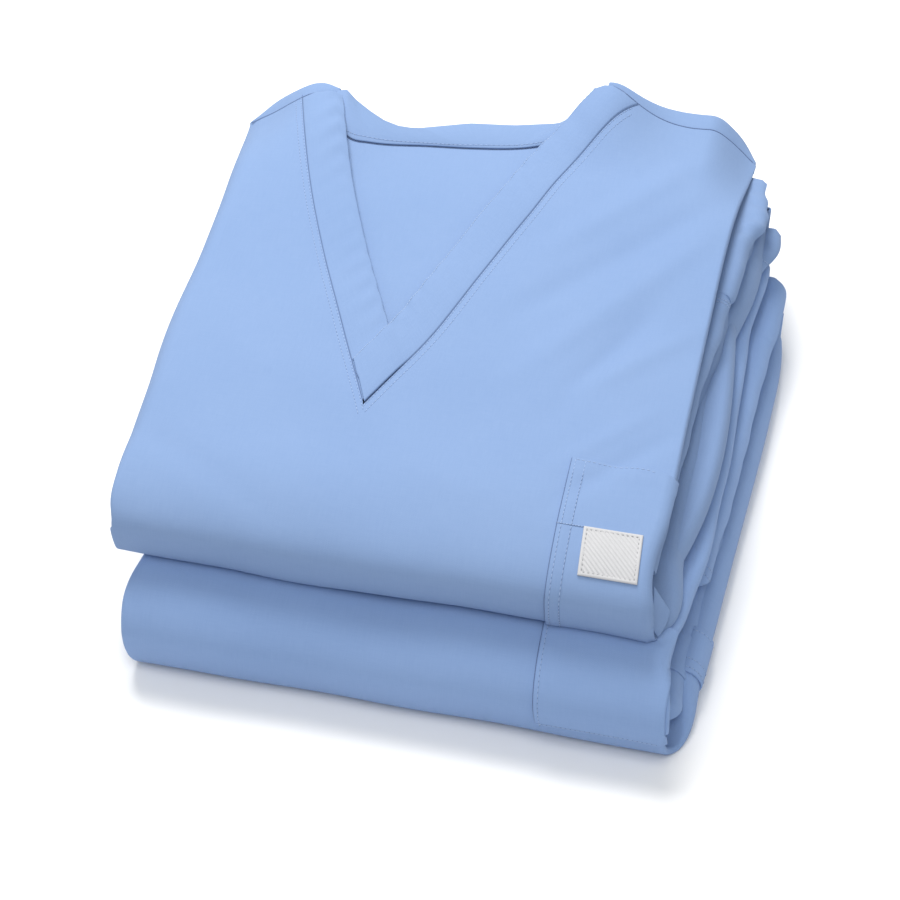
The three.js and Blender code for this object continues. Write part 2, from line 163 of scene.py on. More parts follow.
def new_group(name: str, inputs: dict[str, float], outputs: Sequence[str]) -> bpy.types.NodeTree:
    """Makes an empty shader node group.

    Args:
        name: the group's name.
        inputs: its number inputs and their defaults; "Vector" is a vector.
        outputs: its number outputs.

    Returns:
        The node tree, with its input and output nodes in it.
    """
    tree = bpy.data.node_groups.new(name, "ShaderNodeTree")
    for key, default in inputs.items():
        kind = "NodeSocketVector" if key == "Vector" else "NodeSocketFloat"
        socket = tree.interface.new_socket(key, in_out="INPUT", socket_type=kind)
        if kind == "NodeSocketFloat":
            socket.default_value = default
    for key in outputs:
        tree.interface.new_socket(key, in_out="OUTPUT", socket_type="NodeSocketFloat")
    tree.nodes.new("NodeGroupInput").name = "in"
    tree.nodes.new("NodeGroupOutput").name = "out"
    return tree


def math_node(tree: bpy.types.NodeTree, operation: str, a: object, b: object = None) -> bpy.types.NodeSocket:
    """Adds a Math node whose inputs are numbers or sockets, and returns its output."""
    node = tree.nodes.new("ShaderNodeMath")
    node.operation = operation
    for socket, value in zip(node.inputs, (a, b)):
        if isinstance(value, bpy.types.NodeSocket):
            tree.links.new(value, socket)
        elif value is not None:
            socket.default_value = value
    return node.outputs[0]


def noise_node(tree: bpy.types.NodeTree, vector: bpy.types.NodeSocket, scale: object,
               detail: float = 2.0) -> bpy.types.NodeSocket:
    """Adds a Noise Texture node, whose scale is a number or a socket, and returns its factor."""
    node = tree.nodes.new("ShaderNodeTexNoise")
    node.inputs["Detail"].default_value = detail
    tree.links.new(vector, node.inputs["Vector"])
    if isinstance(scale, bpy.types.NodeSocket):
        tree.links.new(scale, node.inputs["Scale"])
    else:
        node.inputs["Scale"].default_value = scale
    return node.outputs["Fac"]


def bump_node(tree: bpy.types.NodeTree, height: bpy.types.NodeSocket, distance: float, strength: float = 1.0,
              normal: bpy.types.NodeSocket | None = None) -> bpy.types.NodeSocket:
    """Adds a Bump node, on top of another one's normal if there is one, and returns its normal."""
    node = tree.nodes.new("ShaderNodeBump")
    node.inputs["Distance"].default_value = distance
    node.inputs["Strength"].default_value = strength
    tree.links.new(height, node.inputs["Height"])
    if normal is not None:
        tree.links.new(normal, node.inputs["Normal"])
    return node.outputs[0]


def ramp_node(tree: bpy.types.NodeTree, factor: bpy.types.NodeSocket, colours: Sequence[Sequence[float]],
              stops: tuple[float, float] = (0.0, 1.0)) -> bpy.types.NodeSocket:
    """Adds a ramp between two colours and returns its colour."""
    node = tree.nodes.new("ShaderNodeValToRGB")
    for element, colour, stop in zip(node.color_ramp.elements, colours, stops):
        element.position = stop
        element.color = (*colour, 1.0)
    tree.links.new(factor, node.inputs[0])
    return node.outputs[0]


def weave_group() -> bpy.types.NodeTree:
    """The plain weave: threads over and under each other, with uneven yarn."""
    name = "plain_weave"
    if name in bpy.data.node_groups:
        return bpy.data.node_groups[name]
    tree = new_group(name, {"Vector": 0.0, "Threads": 2200.0, "Unevenness": 0.5}, ("Height", "Yarn"))
    source, sink = tree.nodes["in"].outputs, tree.nodes["out"].inputs
    split = tree.nodes.new("ShaderNodeSeparateXYZ")
    tree.links.new(source["Vector"], split.inputs[0])
    turns = math_node(tree, "MULTIPLY", source["Threads"], math.pi)
    warp, weft = (math_node(tree, "SINE", math_node(tree, "MULTIPLY", split.outputs[axis], turns))
                  for axis in (0, 1))
    crossing = math_node(tree, "MULTIPLY", warp, weft)
    ridges = math_node(tree, "ADD", math_node(tree, "ABSOLUTE", warp), math_node(tree, "ABSOLUTE", weft))
    height = math_node(tree, "ADD", math_node(tree, "MULTIPLY", crossing, 0.5),
                       math_node(tree, "MULTIPLY", ridges, 0.25))
    along_yarn, across_yarn = 90.0, 1500.0
    slubs = []
    for stretch in ((along_yarn, across_yarn, 1.0), (across_yarn, along_yarn, 1.0)):
        scale = tree.nodes.new("ShaderNodeVectorMath")
        scale.operation = "MULTIPLY"
        scale.inputs[1].default_value = stretch
        tree.links.new(source["Vector"], scale.inputs[0])
        slubs.append(noise_node(tree, scale.outputs[0], 1.0))
    yarn = math_node(tree, "MULTIPLY", math_node(tree, "ADD", *slubs), 0.5)
    uneven = math_node(tree, "MULTIPLY", yarn, source["Unevenness"])
    tree.links.new(math_node(tree, "ADD", height, uneven), sink["Height"])
    tree.links.new(yarn, sink["Yarn"])
    return tree


def crumple_group() -> bpy.types.NodeTree:
    """Soft handling marks: broad patches and faint creases in pressed cloth."""
    name = "handling_marks"
    if name in bpy.data.node_groups:
        return bpy.data.node_groups[name]
    tree = new_group(name, {"Vector": 0.0, "Scale": 9.0}, ("Patches", "Creases"))
    source, sink = tree.nodes["in"].outputs, tree.nodes["out"].inputs
    for output, factor, detail in (("Patches", 1.0, 3.0), ("Creases", 3.5, 4.0)):
        scale = math_node(tree, "MULTIPLY", source["Scale"], factor)
        tree.links.new(noise_node(tree, source["Vector"], scale, detail), sink[output])
    return tree


@dataclass(frozen=True)
class Finish:
    """A material that is built once and names one of the material slots."""

    name: str
    slot: Slot

    def material(self) -> bpy.types.Material:
        """Builds the material, or returns it if it is there already."""
        if self.name in bpy.data.materials:
            return bpy.data.materials[self.name]
        material = bpy.data.materials.new(self.name)
        material.use_nodes = True
        tree = material.node_tree
        self.dress(tree, tree.nodes["Principled BSDF"].inputs)
        return material

    def dress(self, tree: bpy.types.NodeTree, surface: bpy.types.NodeInputs) -> None:
        """Adds the finish's nodes and links them to the shader's inputs."""
        raise NotImplementedError


@dataclass(frozen=True)
class ClothFinish(Finish):
    """Plain-weave cloth: its colour in the light and in the yarn's shade."""

    light: tuple[float, float, float]
    shade: tuple[float, float, float]
    threads: float = 2300.0
    roughness: float = 0.88
    sheen: float = 0.05
    weave_depth: float = 0.08 * MM
    crease_depth: float = 0.9 * MM

    def dress(self, tree: bpy.types.NodeTree, surface: bpy.types.NodeInputs) -> None:
        """Weave on the cut pattern, and handling marks in the object's own space."""
        surface["Roughness"].default_value = self.roughness
        surface["Specular IOR Level"].default_value = 0.15
        surface["Sheen Weight"].default_value = self.sheen
        surface["Sheen Roughness"].default_value = 0.55
        uv = tree.nodes.new("ShaderNodeUVMap")
        uv.uv_map = "cloth"
        place = tree.nodes.new("ShaderNodeTexCoord").outputs["Object"]
        weave, marks = (tree.nodes.new("ShaderNodeGroup") for _ in range(2))
        weave.node_tree = weave_group()
        weave.inputs["Threads"].default_value = self.threads
        tree.links.new(uv.outputs[0], weave.inputs["Vector"])
        marks.node_tree = crumple_group()
        tree.links.new(place, marks.inputs["Vector"])
        tone = math_node(tree, "ADD", math_node(tree, "MULTIPLY", weave.outputs["Yarn"], 0.55),
                         math_node(tree, "MULTIPLY", marks.outputs["Patches"], 0.45))
        tree.links.new(ramp_node(tree, tone, (self.shade, self.light), (0.3, 0.7)), surface["Base Color"])
        creases = bump_node(tree, marks.outputs["Creases"], self.crease_depth, 0.6)
        threads = bump_node(tree, weave.outputs["Height"], self.weave_depth, 0.7, creases)
        tree.links.new(threads, surface["Normal"])


@dataclass(frozen=True)
class ThreadFinish(Finish):
    """Sewing thread: twisted and slightly shiny; the dark finishes are painted shade, not thread."""

    colour: tuple[float, float, float]
    twist_scale: float = 900.0
    ply_depth: float = 0.1 * MM

    def dress(self, tree: bpy.types.NodeTree, surface: bpy.types.NodeInputs) -> None:
        """One fine noise gives both the shade between the plies and their height."""
        surface["Roughness"].default_value = 0.62
        surface["Sheen Weight"].default_value = 0.1
        place = tree.nodes.new("ShaderNodeTexCoord").outputs["Object"]
        twist = noise_node(tree, place, self.twist_scale)
        shade = [0.82 * c for c in self.colour]
        tree.links.new(ramp_node(tree, twist, (shade, self.colour)), surface["Base Color"])
        tree.links.new(bump_node(tree, twist, self.ply_depth), surface["Normal"])


GOWN_BLUE = ClothFinish("gown_plain_weave", Slot.GOWN, (0.220, 0.320, 0.528), (0.190, 0.287, 0.494))
TRIM_BLUE = ClothFinish("gown_doubled_weave", Slot.TRIM, (0.217, 0.316, 0.522), (0.187, 0.283, 0.488),
                        crease_depth=0.4 * MM)
LEG_BLUE = ClothFinish("trouser_plain_weave", Slot.TROUSERS, (0.247, 0.364, 0.612), (0.213, 0.326, 0.570))
LABEL_WHITE = ClothFinish("blank_woven_label", Slot.LABEL, (0.56, 0.56, 0.575), (0.48, 0.48, 0.495),
                          threads=1700.0, roughness=0.7, crease_depth=0.1 * MM)
BLUE_THREAD = ThreadFinish("pale_blue_thread", Slot.TRIM, (0.35, 0.47, 0.69))
# Dark beads between stitches and dark rows beside the pocket edges: painted shade.
STITCH_SHADE = ThreadFinish("stitch_shadow", Slot.TRIM, (0.13, 0.20, 0.38))
# Dark rows along the neck, back neck and shoulder seams: painted shade in the seam grooves.
SEAM_SHADE = ThreadFinish("painted_seam_shade", Slot.TRIM, (0.105, 0.17, 0.335))
GREY_THREAD = ThreadFinish("pale_grey_thread", Slot.LABEL, (0.27, 0.275, 0.29))


# ------------------------------------------------------------- mesh building
class Bench:
    """The few modelling steps that every piece goes through."""

    @staticmethod
    def clear() -> None:
        """Deselects everything, so that the next operator acts on its own piece."""
        bpy.ops.object.select_all(action="DESELECT")

    @staticmethod
    def take(piece: bpy.types.Object) -> None:
        """Makes one piece the only selected and active one."""
        Bench.clear()
        piece.select_set(True)
        bpy.context.view_layer.objects.active = piece

    @staticmethod
    def grid(name: str, columns: int, rows: int) -> tuple[bpy.types.Object, Array, Array]:
        """Adds a flat grid to be laid as cloth.

        Args:
            name: the piece's name.
            columns: squares across.
            rows: squares along.

        Returns:
            The object, and the column and row number of each vertex.
        """
        Bench.clear()
        bpy.ops.mesh.primitive_grid_add(x_subdivisions=columns, y_subdivisions=rows, size=1.0)
        piece = bpy.context.active_object
        piece.name = piece.data.name = name
        at = Bench.points(piece)
        column = np.rint((at[:, 0] + 0.5) * columns).astype(int)
        row = np.rint((at[:, 1] + 0.5) * rows).astype(int)
        return piece, column, row

    @staticmethod
    def points(piece: bpy.types.Object) -> Array:
        """The piece's vertices as rows of three numbers."""
        at = np.empty(len(piece.data.vertices) * 3)
        piece.data.vertices.foreach_get("co", at)
        return at.reshape(-1, 3)

    @staticmethod
    def lay(piece: bpy.types.Object, at: Array, cut: Array) -> None:
        """Moves the vertices to their places and keeps the cut pattern as a UV map.

        Args:
            piece: the mesh object.
            at: each vertex's place, in metres.
            cut: each vertex's place on the flat cloth, in metres.
        """
        piece.data.vertices.foreach_set("co", at.astype(np.float32).ravel())
        for layer in list(piece.data.uv_layers):
            piece.data.uv_layers.remove(layer)
        layer = piece.data.uv_layers.new(name="cloth")
        corners = np.empty(len(piece.data.loops), int)
        piece.data.loops.foreach_get("vertex_index", corners)
        layer.data.foreach_set("uv", cut[corners].astype(np.float32).ravel())
        piece.data.update()

    @staticmethod
    def edit(operator: Callable[..., object], **settings: object) -> None:
        """Runs one mesh operator on the whole of the active piece."""
        bpy.ops.object.mode_set(mode="EDIT")
        bpy.ops.mesh.select_all(action="SELECT")
        operator(**settings)
        bpy.ops.object.mode_set(mode="OBJECT")

    @staticmethod
    def thicken(piece: bpy.types.Object, thickness: float) -> None:
        """Gives a sheet its thickness, inwards."""
        Bench.take(piece)
        modifier = piece.modifiers.new("solidify", "SOLIDIFY")
        modifier.thickness = thickness
        modifier.offset = -1.0
        modifier.use_rim = True
        bpy.ops.object.modifier_apply(modifier=modifier.name)

    @staticmethod
    def join(name: str, parts: Sequence[bpy.types.Object], merge: float = 1e-5) -> bpy.types.Object:
        """Joins parts into one piece and merges the vertices that meet."""
        Bench.take(parts[0])
        for part in parts[1:]:
            part.select_set(True)
        bpy.ops.object.join()
        piece = bpy.context.active_object
        piece.name = piece.data.name = name
        Bench.edit(bpy.ops.mesh.remove_doubles, threshold=merge)
        return piece

    @staticmethod
    def finish(piece: bpy.types.Object, finish: Finish, angle: float = 50.0) -> bpy.types.Object:
        """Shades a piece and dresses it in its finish."""
        Bench.take(piece)
        bpy.ops.object.shade_smooth_by_angle(angle=math.radians(angle))
        piece.data.materials.clear()
        piece.data.materials.append(finish.material())
        LOG.info("%s: %d faces", piece.name, len(piece.data.polygons))
        return piece


# ------------------------------------------------------------- folded sheets
@dataclass
class FoldPath:
    """The side view of a folded sheet in the YZ plane, outer face.

    Lengths along it are 0 at the front of the fold, positive over the upper
    half and negative under the lower half.
    """

    front: float
    parting: float
    top: float
    bottom: float
    upper_reach: float
    lower_reach: float
    upper_back: float
    lower_back: float
    upper_turn: float = 0.0
    lower_turn: float = 0.0
    end_gap: float = 1.5 * MM
    arc_steps: int = 60
    flat_steps: int = 40

    def _half(self, side: int) -> tuple[Array, Array]:
        """Y and Z of one half, from the front of the fold to its end."""
        rise = self.top - self.parting if side > 0 else self.parting - self.bottom
        reach = self.upper_reach if side > 0 else self.lower_reach
        back = self.upper_back if side > 0 else self.lower_back
        turn = self.upper_turn if side > 0 else self.lower_turn
        angle = np.linspace(0.0, math.pi / 2, self.arc_steps)
        y = [self.front + reach * (1.0 - np.cos(angle))]
        z = [rise * np.sin(angle)]
        flat = np.linspace(self.front + reach, back - turn, self.flat_steps)[1:]
        y.append(flat)
        z.append(np.full(flat.shape, rise))
        if turn > 0:
            y.append(back - turn + turn * np.sin(angle[1:]))
            z.append(self.end_gap + (rise - self.end_gap) * np.cos(angle[1:]))
        return np.concatenate(y), self.parting + side * np.concatenate(z)

    @cached_property
    def table(self) -> tuple[Array, ...]:
        """Length, Y, Z and outward normal at close steps along the path."""
        upper_y, upper_z = self._half(1)
        lower_y, lower_z = self._half(-1)
        y = np.concatenate([lower_y[::-1], upper_y[1:]])
        z = np.concatenate([lower_z[::-1], upper_z[1:]])
        length = np.concatenate([[0.0], np.cumsum(np.hypot(np.diff(y), np.diff(z)))])
        length -= length[len(lower_y) - 1]
        dy, dz = np.gradient(y, length), np.gradient(z, length)
        size = np.hypot(dy, dz)
        return length, y, z, -dz / size, dy / size

    @property
    def ends(self) -> tuple[float, float]:
        """The lengths at the lower and the upper end."""
        return float(self.table[0][0]), float(self.table[0][-1])

    def at(self, length: Array) -> tuple[Array, Array, Array, Array]:
        """Y, Z and the outward normal at each length."""
        table = self.table
        return tuple(np.interp(length, table[0], column) for column in table[1:])

    def length_at(self, y: Array, side: int = 1) -> Array:
        """The length at which the path comes back to a given Y, on one half."""
        table = self.table
        half = table[0] >= 0 if side > 0 else table[0] <= 0
        ys, lengths = table[1][half], table[0][half]
        order = np.argsort(ys)
        return np.interp(y, ys[order], lengths[order])


@dataclass
class SideFold:
    """How one side edge of a sheet folds under itself."""

    upper: float
    lower: float
    tip: float
    turned_in: float = 34 * MM
    upper_crease: float = -0.2
    lower_crease: float = 0.3
    front_share: float = 0.55

    def crease(self, length: Array) -> Array:
        """Height of the crease in the fold, for the upper and for the lower half."""
        share = smoothstep(length, -15 * MM, 15 * MM)
        return self.lower_crease + (self.upper_crease - self.lower_crease) * share

    def radius(self, length: Array, path: FoldPath) -> Array:
        """The fold's radius along a path: smaller round the front and at the ends."""
        flat = np.where(length >= 0, self.upper, self.lower)
        start = self.front_share * (path.top - path.bottom)
        low, high = path.ends
        away = np.where(length >= 0, high - length, length - low)
        easing = smoothstep(np.abs(length) - start, 0.0, 42 * MM) * smoothstep(away, 4 * MM, 34 * MM)
        return self.tip + (flat - self.tip) * easing


Field = Callable[[Array, Array, Array], Array]


def still(x: Array, y: Array, length: Array) -> Array:
    """A field that moves nothing."""
    return np.zeros(np.broadcast(x, y, length).shape)


@dataclass
class Drape:
    """A folded sheet as a surface: where any spot of the cloth comes to lie.

    A spot is its distance across the bundle, its length along the fold path
    and its lift off the sheet. Distances beyond the side creases run on round
    the side folds.
    """

    path: FoldPath
    left_upper: Callable[[Array], Array]
    left_lower: Callable[[Array], Array]
    right_upper: Callable[[Array], Array]
    right_lower: Callable[[Array], Array]
    left_fold: SideFold
    right_fold: SideFold
    relief: Field = still
    height: Callable[[Array, Array], Array] | None = None
    front_overlap: float = 14 * MM
    clearance: float = 3 * MM

    def edges(self, length: Array) -> tuple[Array, Array, Array, Array]:
        """The left and right edge and the two fold radii at each length."""
        y = self.path.at(length)[0]
        side = np.asarray(length) >= 0
        left = np.where(side, self.left_upper(y), self.left_lower(y))
        right = np.where(side, self.right_upper(y), self.right_lower(y))
        radii = (fold.radius(length, self.path) for fold in (self.left_fold, self.right_fold))
        return (left, right, *radii)

    def place(self, across: Array, length: Array, lift: Array | float = 0.0) -> Array:
        """Where spots of the sheet lie.

        Args:
            across: distance across the bundle, in metres.
            length: length along the fold path.
            lift: how far the spot stands off the sheet.

        Returns:
            One row of X, Y and Z for each spot.
        """
        across, length, lift = np.broadcast_arrays(
            np.asarray(across, float), np.asarray(length, float), np.asarray(lift, float))
        y, z, normal_y, normal_z = self.path.at(length)
        left, right, left_radius, right_radius = self.edges(length)
        x = across.copy()
        depth = lift.copy()
        for sign, edge, radius, fold in (
            (1.0, right, right_radius, self.right_fold), (-1.0, left, left_radius, self.left_fold)):
            over = sign * (across - edge) + radius
            past = np.maximum(over - math.pi * radius, 0.0)
            out, deep = crease_profile(np.clip(over / (math.pi * radius), 0.0, 1.0), fold.crease(length))
            folded = over > 0
            x = np.where(folded, edge - sign * radius + sign * ((radius + lift) * out - past), x)
            depth = np.where(folded, (radius + lift) * deep - radius, depth)
        depth = depth + self.relief(x, y, length)
        y = y + normal_y * depth
        z = z + normal_z * depth
        return self.settle(x, y, self._kept_apart(y, z, length))

    def _kept_apart(self, y: Array, z: Array, length: Array) -> Array:
        """Keeps turned-in cloth behind the fold on its own side of the parting.

        Cloth that lay across the parting there would be drawn out when the
        halves part.
        """
        front, parting = self.path.front, self.path.parting
        behind = smoothstep(y, front + 6 * MM, front + 24 * MM)
        clear = (self.front_overlap + self.clearance) * behind - self.front_overlap
        return np.where(length >= 0, np.maximum(z, parting + clear), np.minimum(z, parting - clear))

    def settle(self, x: Array, y: Array, z: Array) -> Array:
        """Applies the uneven height of the bundle's upper half."""
        if self.height is not None:
            parting = self.path.parting
            z = np.where(z > parting, parting + (z - parting) * self.height(x, y), z)
        return np.stack([x, y, np.maximum(z, 0.0)], axis=-1)

    def on_top(self, x: Array, y: Array, lift: Array | float = 0.0) -> Array:
        """Where a spot of the upper face lies that is seen at X and Y from above."""
        return self.place(x, self.path.length_at(y), lift)


class Span(Enum):
    """Which stretch of the sheet's width a panel covers."""

    WHOLE = "whole"
    LEFT = "left"
    RIGHT = "right"


@dataclass
class ClothSheet:
    """A sheet of cloth laid on a drape, with its side edges turned in."""

    name: str
    drape: Drape
    finish: ClothFinish
    pitch: float = 3.2 * MM
    thickness: float = 0.9 * MM
    seam: Callable[[Array, Span], Array] | None = None
    end_line: Callable[[Array], Array] | None = None
    trimmed_reach: float = 150 * MM
    fine_reach: float = 60 * MM
    fine_share: float = 0.6
    split_share: float = 0.55
    turned_squares: int = 8
    round_squares: int = 10

    def _trimmed(self, across: Array, length: Array) -> Array:
        """Lengths drawn in or out, so that the upper end follows its cut line."""
        if self.end_line is None:
            return length
        path = self.drape.path
        high = path.ends[1]
        start = high - self.trimmed_reach
        end = path.length_at(self.end_line(across))
        return np.where(length > start, start + (length - start) * (end - start) / (high - start), length)

    def _columns(self) -> dict[str, int]:
        """The stretches across the sheet and how many squares each gets."""
        left, right, *_ = self.drape.edges(np.array([self.drape.path.ends[1] * 0.5]))
        flat = int((right - left)[0] / self.pitch)
        turned, rounded = self.turned_squares, self.round_squares
        return {"turned_left": turned, "round_left": rounded, "flat": flat, "round_right": rounded,
                "turned_right": turned}

    def _rows(self) -> Array:
        """Lengths of the rows: closer together round the front fold."""
        low, high = self.drape.path.ends
        arc, pitch = self.fine_reach, self.pitch
        rows = []
        for start, end, step in ((low, -arc, pitch), (-arc, arc, pitch * self.fine_share),
                                 (arc, high, pitch)):
            count = max(2, int(abs(end - start) / step))
            rows.append(np.linspace(start, end, count, endpoint=False))
        return np.concatenate([*rows, [high]])

    def _across(self, span: Span, column: Array, counts: dict[str, int], length: Array) -> Array:
        """Distance across the bundle of each vertex of a panel."""
        left, right, left_radius, right_radius = self.drape.edges(length)
        fold_left, fold_right = self.drape.left_fold, self.drape.right_fold
        under_left = left + left_radius * (1 - math.pi)
        under_right = right + right_radius * (math.pi - 1)
        stops = {
            "turned_left": (under_left - fold_left.turned_in, under_left),
            "round_left": (under_left, left + left_radius),
            "flat": (left + left_radius, right - right_radius),
            "round_right": (right - right_radius, under_right),
            "turned_right": (under_right, under_right + fold_right.turned_in),
        }
        if span is not Span.WHOLE:
            middle = self.seam(length, span)
            start, end = stops["flat"]
            stops["flat"] = (start, middle) if span is Span.LEFT else (middle, end)
        across = np.zeros(column.shape)
        first = 0
        for key, count in counts.items():
            low, high = stops[key]
            inside = (column >= first) & (column <= first + count)
            share = (column - first) / count
            across = np.where(inside, low + (high - low) * share, across)
            first += count
        return across

    def _panel(self, span: Span) -> bpy.types.Object:
        """One grid of cloth, the whole width or one side of the split."""
        counts = self._columns()
        if span is Span.LEFT:
            counts = {k: counts[k] for k in ("turned_left", "round_left", "flat")}
        elif span is Span.RIGHT:
            counts = {k: counts[k] for k in ("flat", "round_right", "turned_right")}
        if span is not Span.WHOLE:
            counts["flat"] = int(counts["flat"] * self.split_share)
        rows = self._rows()
        piece, column, row = Bench.grid(f"{self.name}_{span.value}", sum(counts.values()), len(rows) - 1)
        length = rows[row]
        for _ in range(4):  # the neck seam and the cut end depend on each other
            across = self._across(span, column, counts, length)
            length = self._trimmed(across, rows[row])
        Bench.lay(piece, self.drape.place(across, length), np.stack([across, length], axis=-1))
        return piece

    def build(self) -> bpy.types.Object:
        """Lays the sheet, split along the neck seam if it has one."""
        if self.seam is None:
            piece = self._panel(Span.WHOLE)
            piece.name = piece.data.name = self.name
        else:
            piece = Bench.join(self.name, [self._panel(Span.LEFT), self._panel(Span.RIGHT)])
        Bench.thicken(piece, self.thickness)
        return Bench.finish(piece, self.finish)

    def flat_size(self) -> tuple[float, float]:
        """The width and length that the sheet was cut to."""
        low, high = self.drape.path.ends
        middle = np.array([high * 0.5])
        left, right, left_radius, right_radius = (float(value[0]) for value in self.drape.edges(middle))
        width = right - left + (left_radius + right_radius) * (math.pi - 2)
        return width + self.drape.left_fold.turned_in + self.drape.right_fold.turned_in, high - low


@dataclass
class Patch:
    """A doubled strip or patch of cloth laid on a drape, with rounded folded edges."""

    name: str
    finish: ClothFinish
    where: Callable[[Array, Array, Array], Array]
    size: tuple[float, float]
    thickness: float = 1.1 * MM
    pitch: float = 2.4 * MM

    def build(self) -> bpy.types.Object:
        """Lays the patch as a closed flat pillow whose rim is rounded.

        Returns:
            The piece. `where` gets each spot's share across, share along and
            lift off the drape.
        """
        columns, rows = (self._count(axis) for axis in (0, 1))
        faces = []
        half = self.thickness / 2
        for side in (1.0, -1.0):
            piece, column, row = Bench.grid(f"{self.name}_{'top' if side > 0 else 'under'}", columns, rows)
            across, along = self._eased(column / columns, 0), self._eased(row / rows, 1)
            rim = self._rim(across, along)
            at = self.where(across, along, half + side * half * rim)
            cut = np.stack([across * self.size[0], along * self.size[1]], axis=-1)
            Bench.lay(piece, at, cut)
            if side < 0:
                Bench.take(piece)
                Bench.edit(bpy.ops.mesh.flip_normals)
            faces.append(piece)
        piece = Bench.join(self.name, faces, merge=2e-6)
        return Bench.finish(piece, self.finish, angle=70.0)

    def _count(self, axis: int) -> int:
        """Squares across or along: enough for the rim and at least two between."""
        return max(8, int(self.size[axis] / self.pitch))

    def _eased(self, share: Array, axis: int) -> Array:
        """Moves the outermost rows close to the rim, so that it can be rounded."""
        steps = np.array([0.0, 0.12, 0.45, 1.0]) * self.thickness * 0.5 / self.size[axis]
        count = self._count(axis)
        index = np.rint(share * count).astype(int)
        inner = len(steps) - 1
        low = np.where(index <= inner, steps[np.clip(index, 0, inner)], 0.0)
        back = count - index
        high = np.where(back <= inner, 1.0 - steps[np.clip(back, 0, inner)], 0.0)
        span = (index - inner) / max(count - 2 * inner, 1)
        middle = steps[-1] + (1.0 - 2 * steps[-1]) * span
        return np.where(index <= inner, low, np.where(back <= inner, high, middle))

    def _rim(self, across: Array, along: Array) -> Array:
        """1 inside the patch, falling to 0 at its rim along a quarter circle."""
        reach = self.thickness * 0.5
        distance = np.minimum(
            np.minimum(across, 1.0 - across) * self.size[0], np.minimum(along, 1.0 - along) * self.size[1])
        t = 1.0 - np.clip(distance / reach, 0.0, 1.0)
        return np.sqrt(np.maximum(0.0, 1.0 - t * t))


@dataclass
class InnerPly:
    """A layer inside the bundle that shows only its folded rim."""

    name: str
    finish: ClothFinish
    left: Callable[[Array], Array]
    right: Callable[[Array], Array]
    front: float
    back: float
    low: float
    high: float
    drape: Drape | None = None
    crease: float = -0.2
    reach: float = 9 * MM
    corners: tuple[float, float] = (5 * MM, 5 * MM)
    waves: float = 0.4 * MM
    gathers: float = 0.0
    phase: float = 0.0
    cuts: int = 56

    def spot(self, along: Array, share: Array, side: Array | float = 1.0, lift: float = 0.0) -> Array:
        """A spot on the folded rim of one side edge.

        Args:
            along: Y of the spot.
            share: 0 at the top of the rim and 1 at its under side.
            side: 1 for the right edge, -1 for the left.
            lift: how far the spot stands off the rim.

        Returns:
            Its place, before the drape settles it.
        """
        out, height = crease_profile(share, self.crease)
        radius = (self.high - self.low) / 2
        reach = self.reach
        edge = np.where(np.asarray(side) > 0, self.right(along), self.left(along))
        rounding = np.zeros(np.shape(along))
        for near, corner in zip((along - self.front, self.back - along), self.corners, strict=True):
            bow = 1.0 - np.clip(near / max(corner, 1e-6), 0.0, 1.0)
            rounding = rounding + corner * (1.0 - np.sqrt(1.0 - bow**2))
        wave = self.waves * (np.sin(along * 95 + self.phase) + 0.6 * np.sin(along * 210 + 1.7 * self.phase))
        gather = self.gathers * np.sin(along * 400 + self.phase) * smoothstep(along, 105 * MM, 125 * MM)
        x = edge - side * (reach + rounding) + side * ((reach + lift) * out + wave + 0.4 * gather * out)
        z = (self.low + self.high) / 2 + (radius + lift) * height + gather * np.abs(height)
        return np.stack([x, along + 0 * x, z], axis=-1)

    def flat_size(self) -> tuple[float, float]:
        """The width and length of the folded layer, laid flat."""
        along = np.linspace(self.front, self.back, 9)
        return float(np.mean(self.right(along) - self.left(along))) + self.reach * 0.5, self.back - self.front

    def build(self) -> bpy.types.Object:
        """Shapes a cut-up block into a flat layer with a creased rim."""
        Bench.clear()
        bpy.ops.mesh.primitive_cube_add(size=2.0)
        piece = bpy.context.active_object
        piece.name = piece.data.name = self.name
        Bench.edit(bpy.ops.mesh.subdivide, number_cuts=self.cuts)
        unit = Bench.points(piece)
        share = (1.0 - unit[:, 2]) / 2
        radius = (self.high - self.low) / 2
        out, height = crease_profile(share, self.crease)
        at_side = np.abs(np.abs(unit[:, 0]) - 1) < 1e-5
        at_end = np.where(np.abs(np.abs(unit[:, 1]) - 1) < 1e-5, np.sign(unit[:, 1]), 0.0)
        end_reach = min(radius, 3 * MM)
        eased = (1.0 + np.sin(unit[:, 1] * math.pi / 2)) / 2
        flat_y = self.front + end_reach + (self.back - self.front - 2 * end_reach) * eased
        y = flat_y + at_end * end_reach * out
        left, right = self.spot(y, share, -1.0), self.spot(y, share, 1.0)
        level = (unit[:, 0] + 1) / 2
        inside_left = self.spot(y, np.zeros(share.shape), -1.0)[:, 0]
        inside_right = self.spot(y, np.zeros(share.shape), 1.0)[:, 0]
        x = inside_left + (inside_right - inside_left) * level
        x = np.where(at_side, np.where(unit[:, 0] > 0, right[:, 0], left[:, 0]), x)
        at_rim = at_side | (at_end != 0)
        z = (self.low + self.high) / 2 + radius * np.where(at_rim, height, np.sign(unit[:, 2]))
        z = np.where(at_side, np.where(unit[:, 0] > 0, right[:, 2], left[:, 2]), z)
        at = self.drape.settle(x, y, z) if self.drape is not None else np.stack([x, y, z], axis=-1)
        Bench.lay(piece, at, np.stack([x + z, y], axis=-1))
        return Bench.finish(piece, self.finish, angle=60.0)


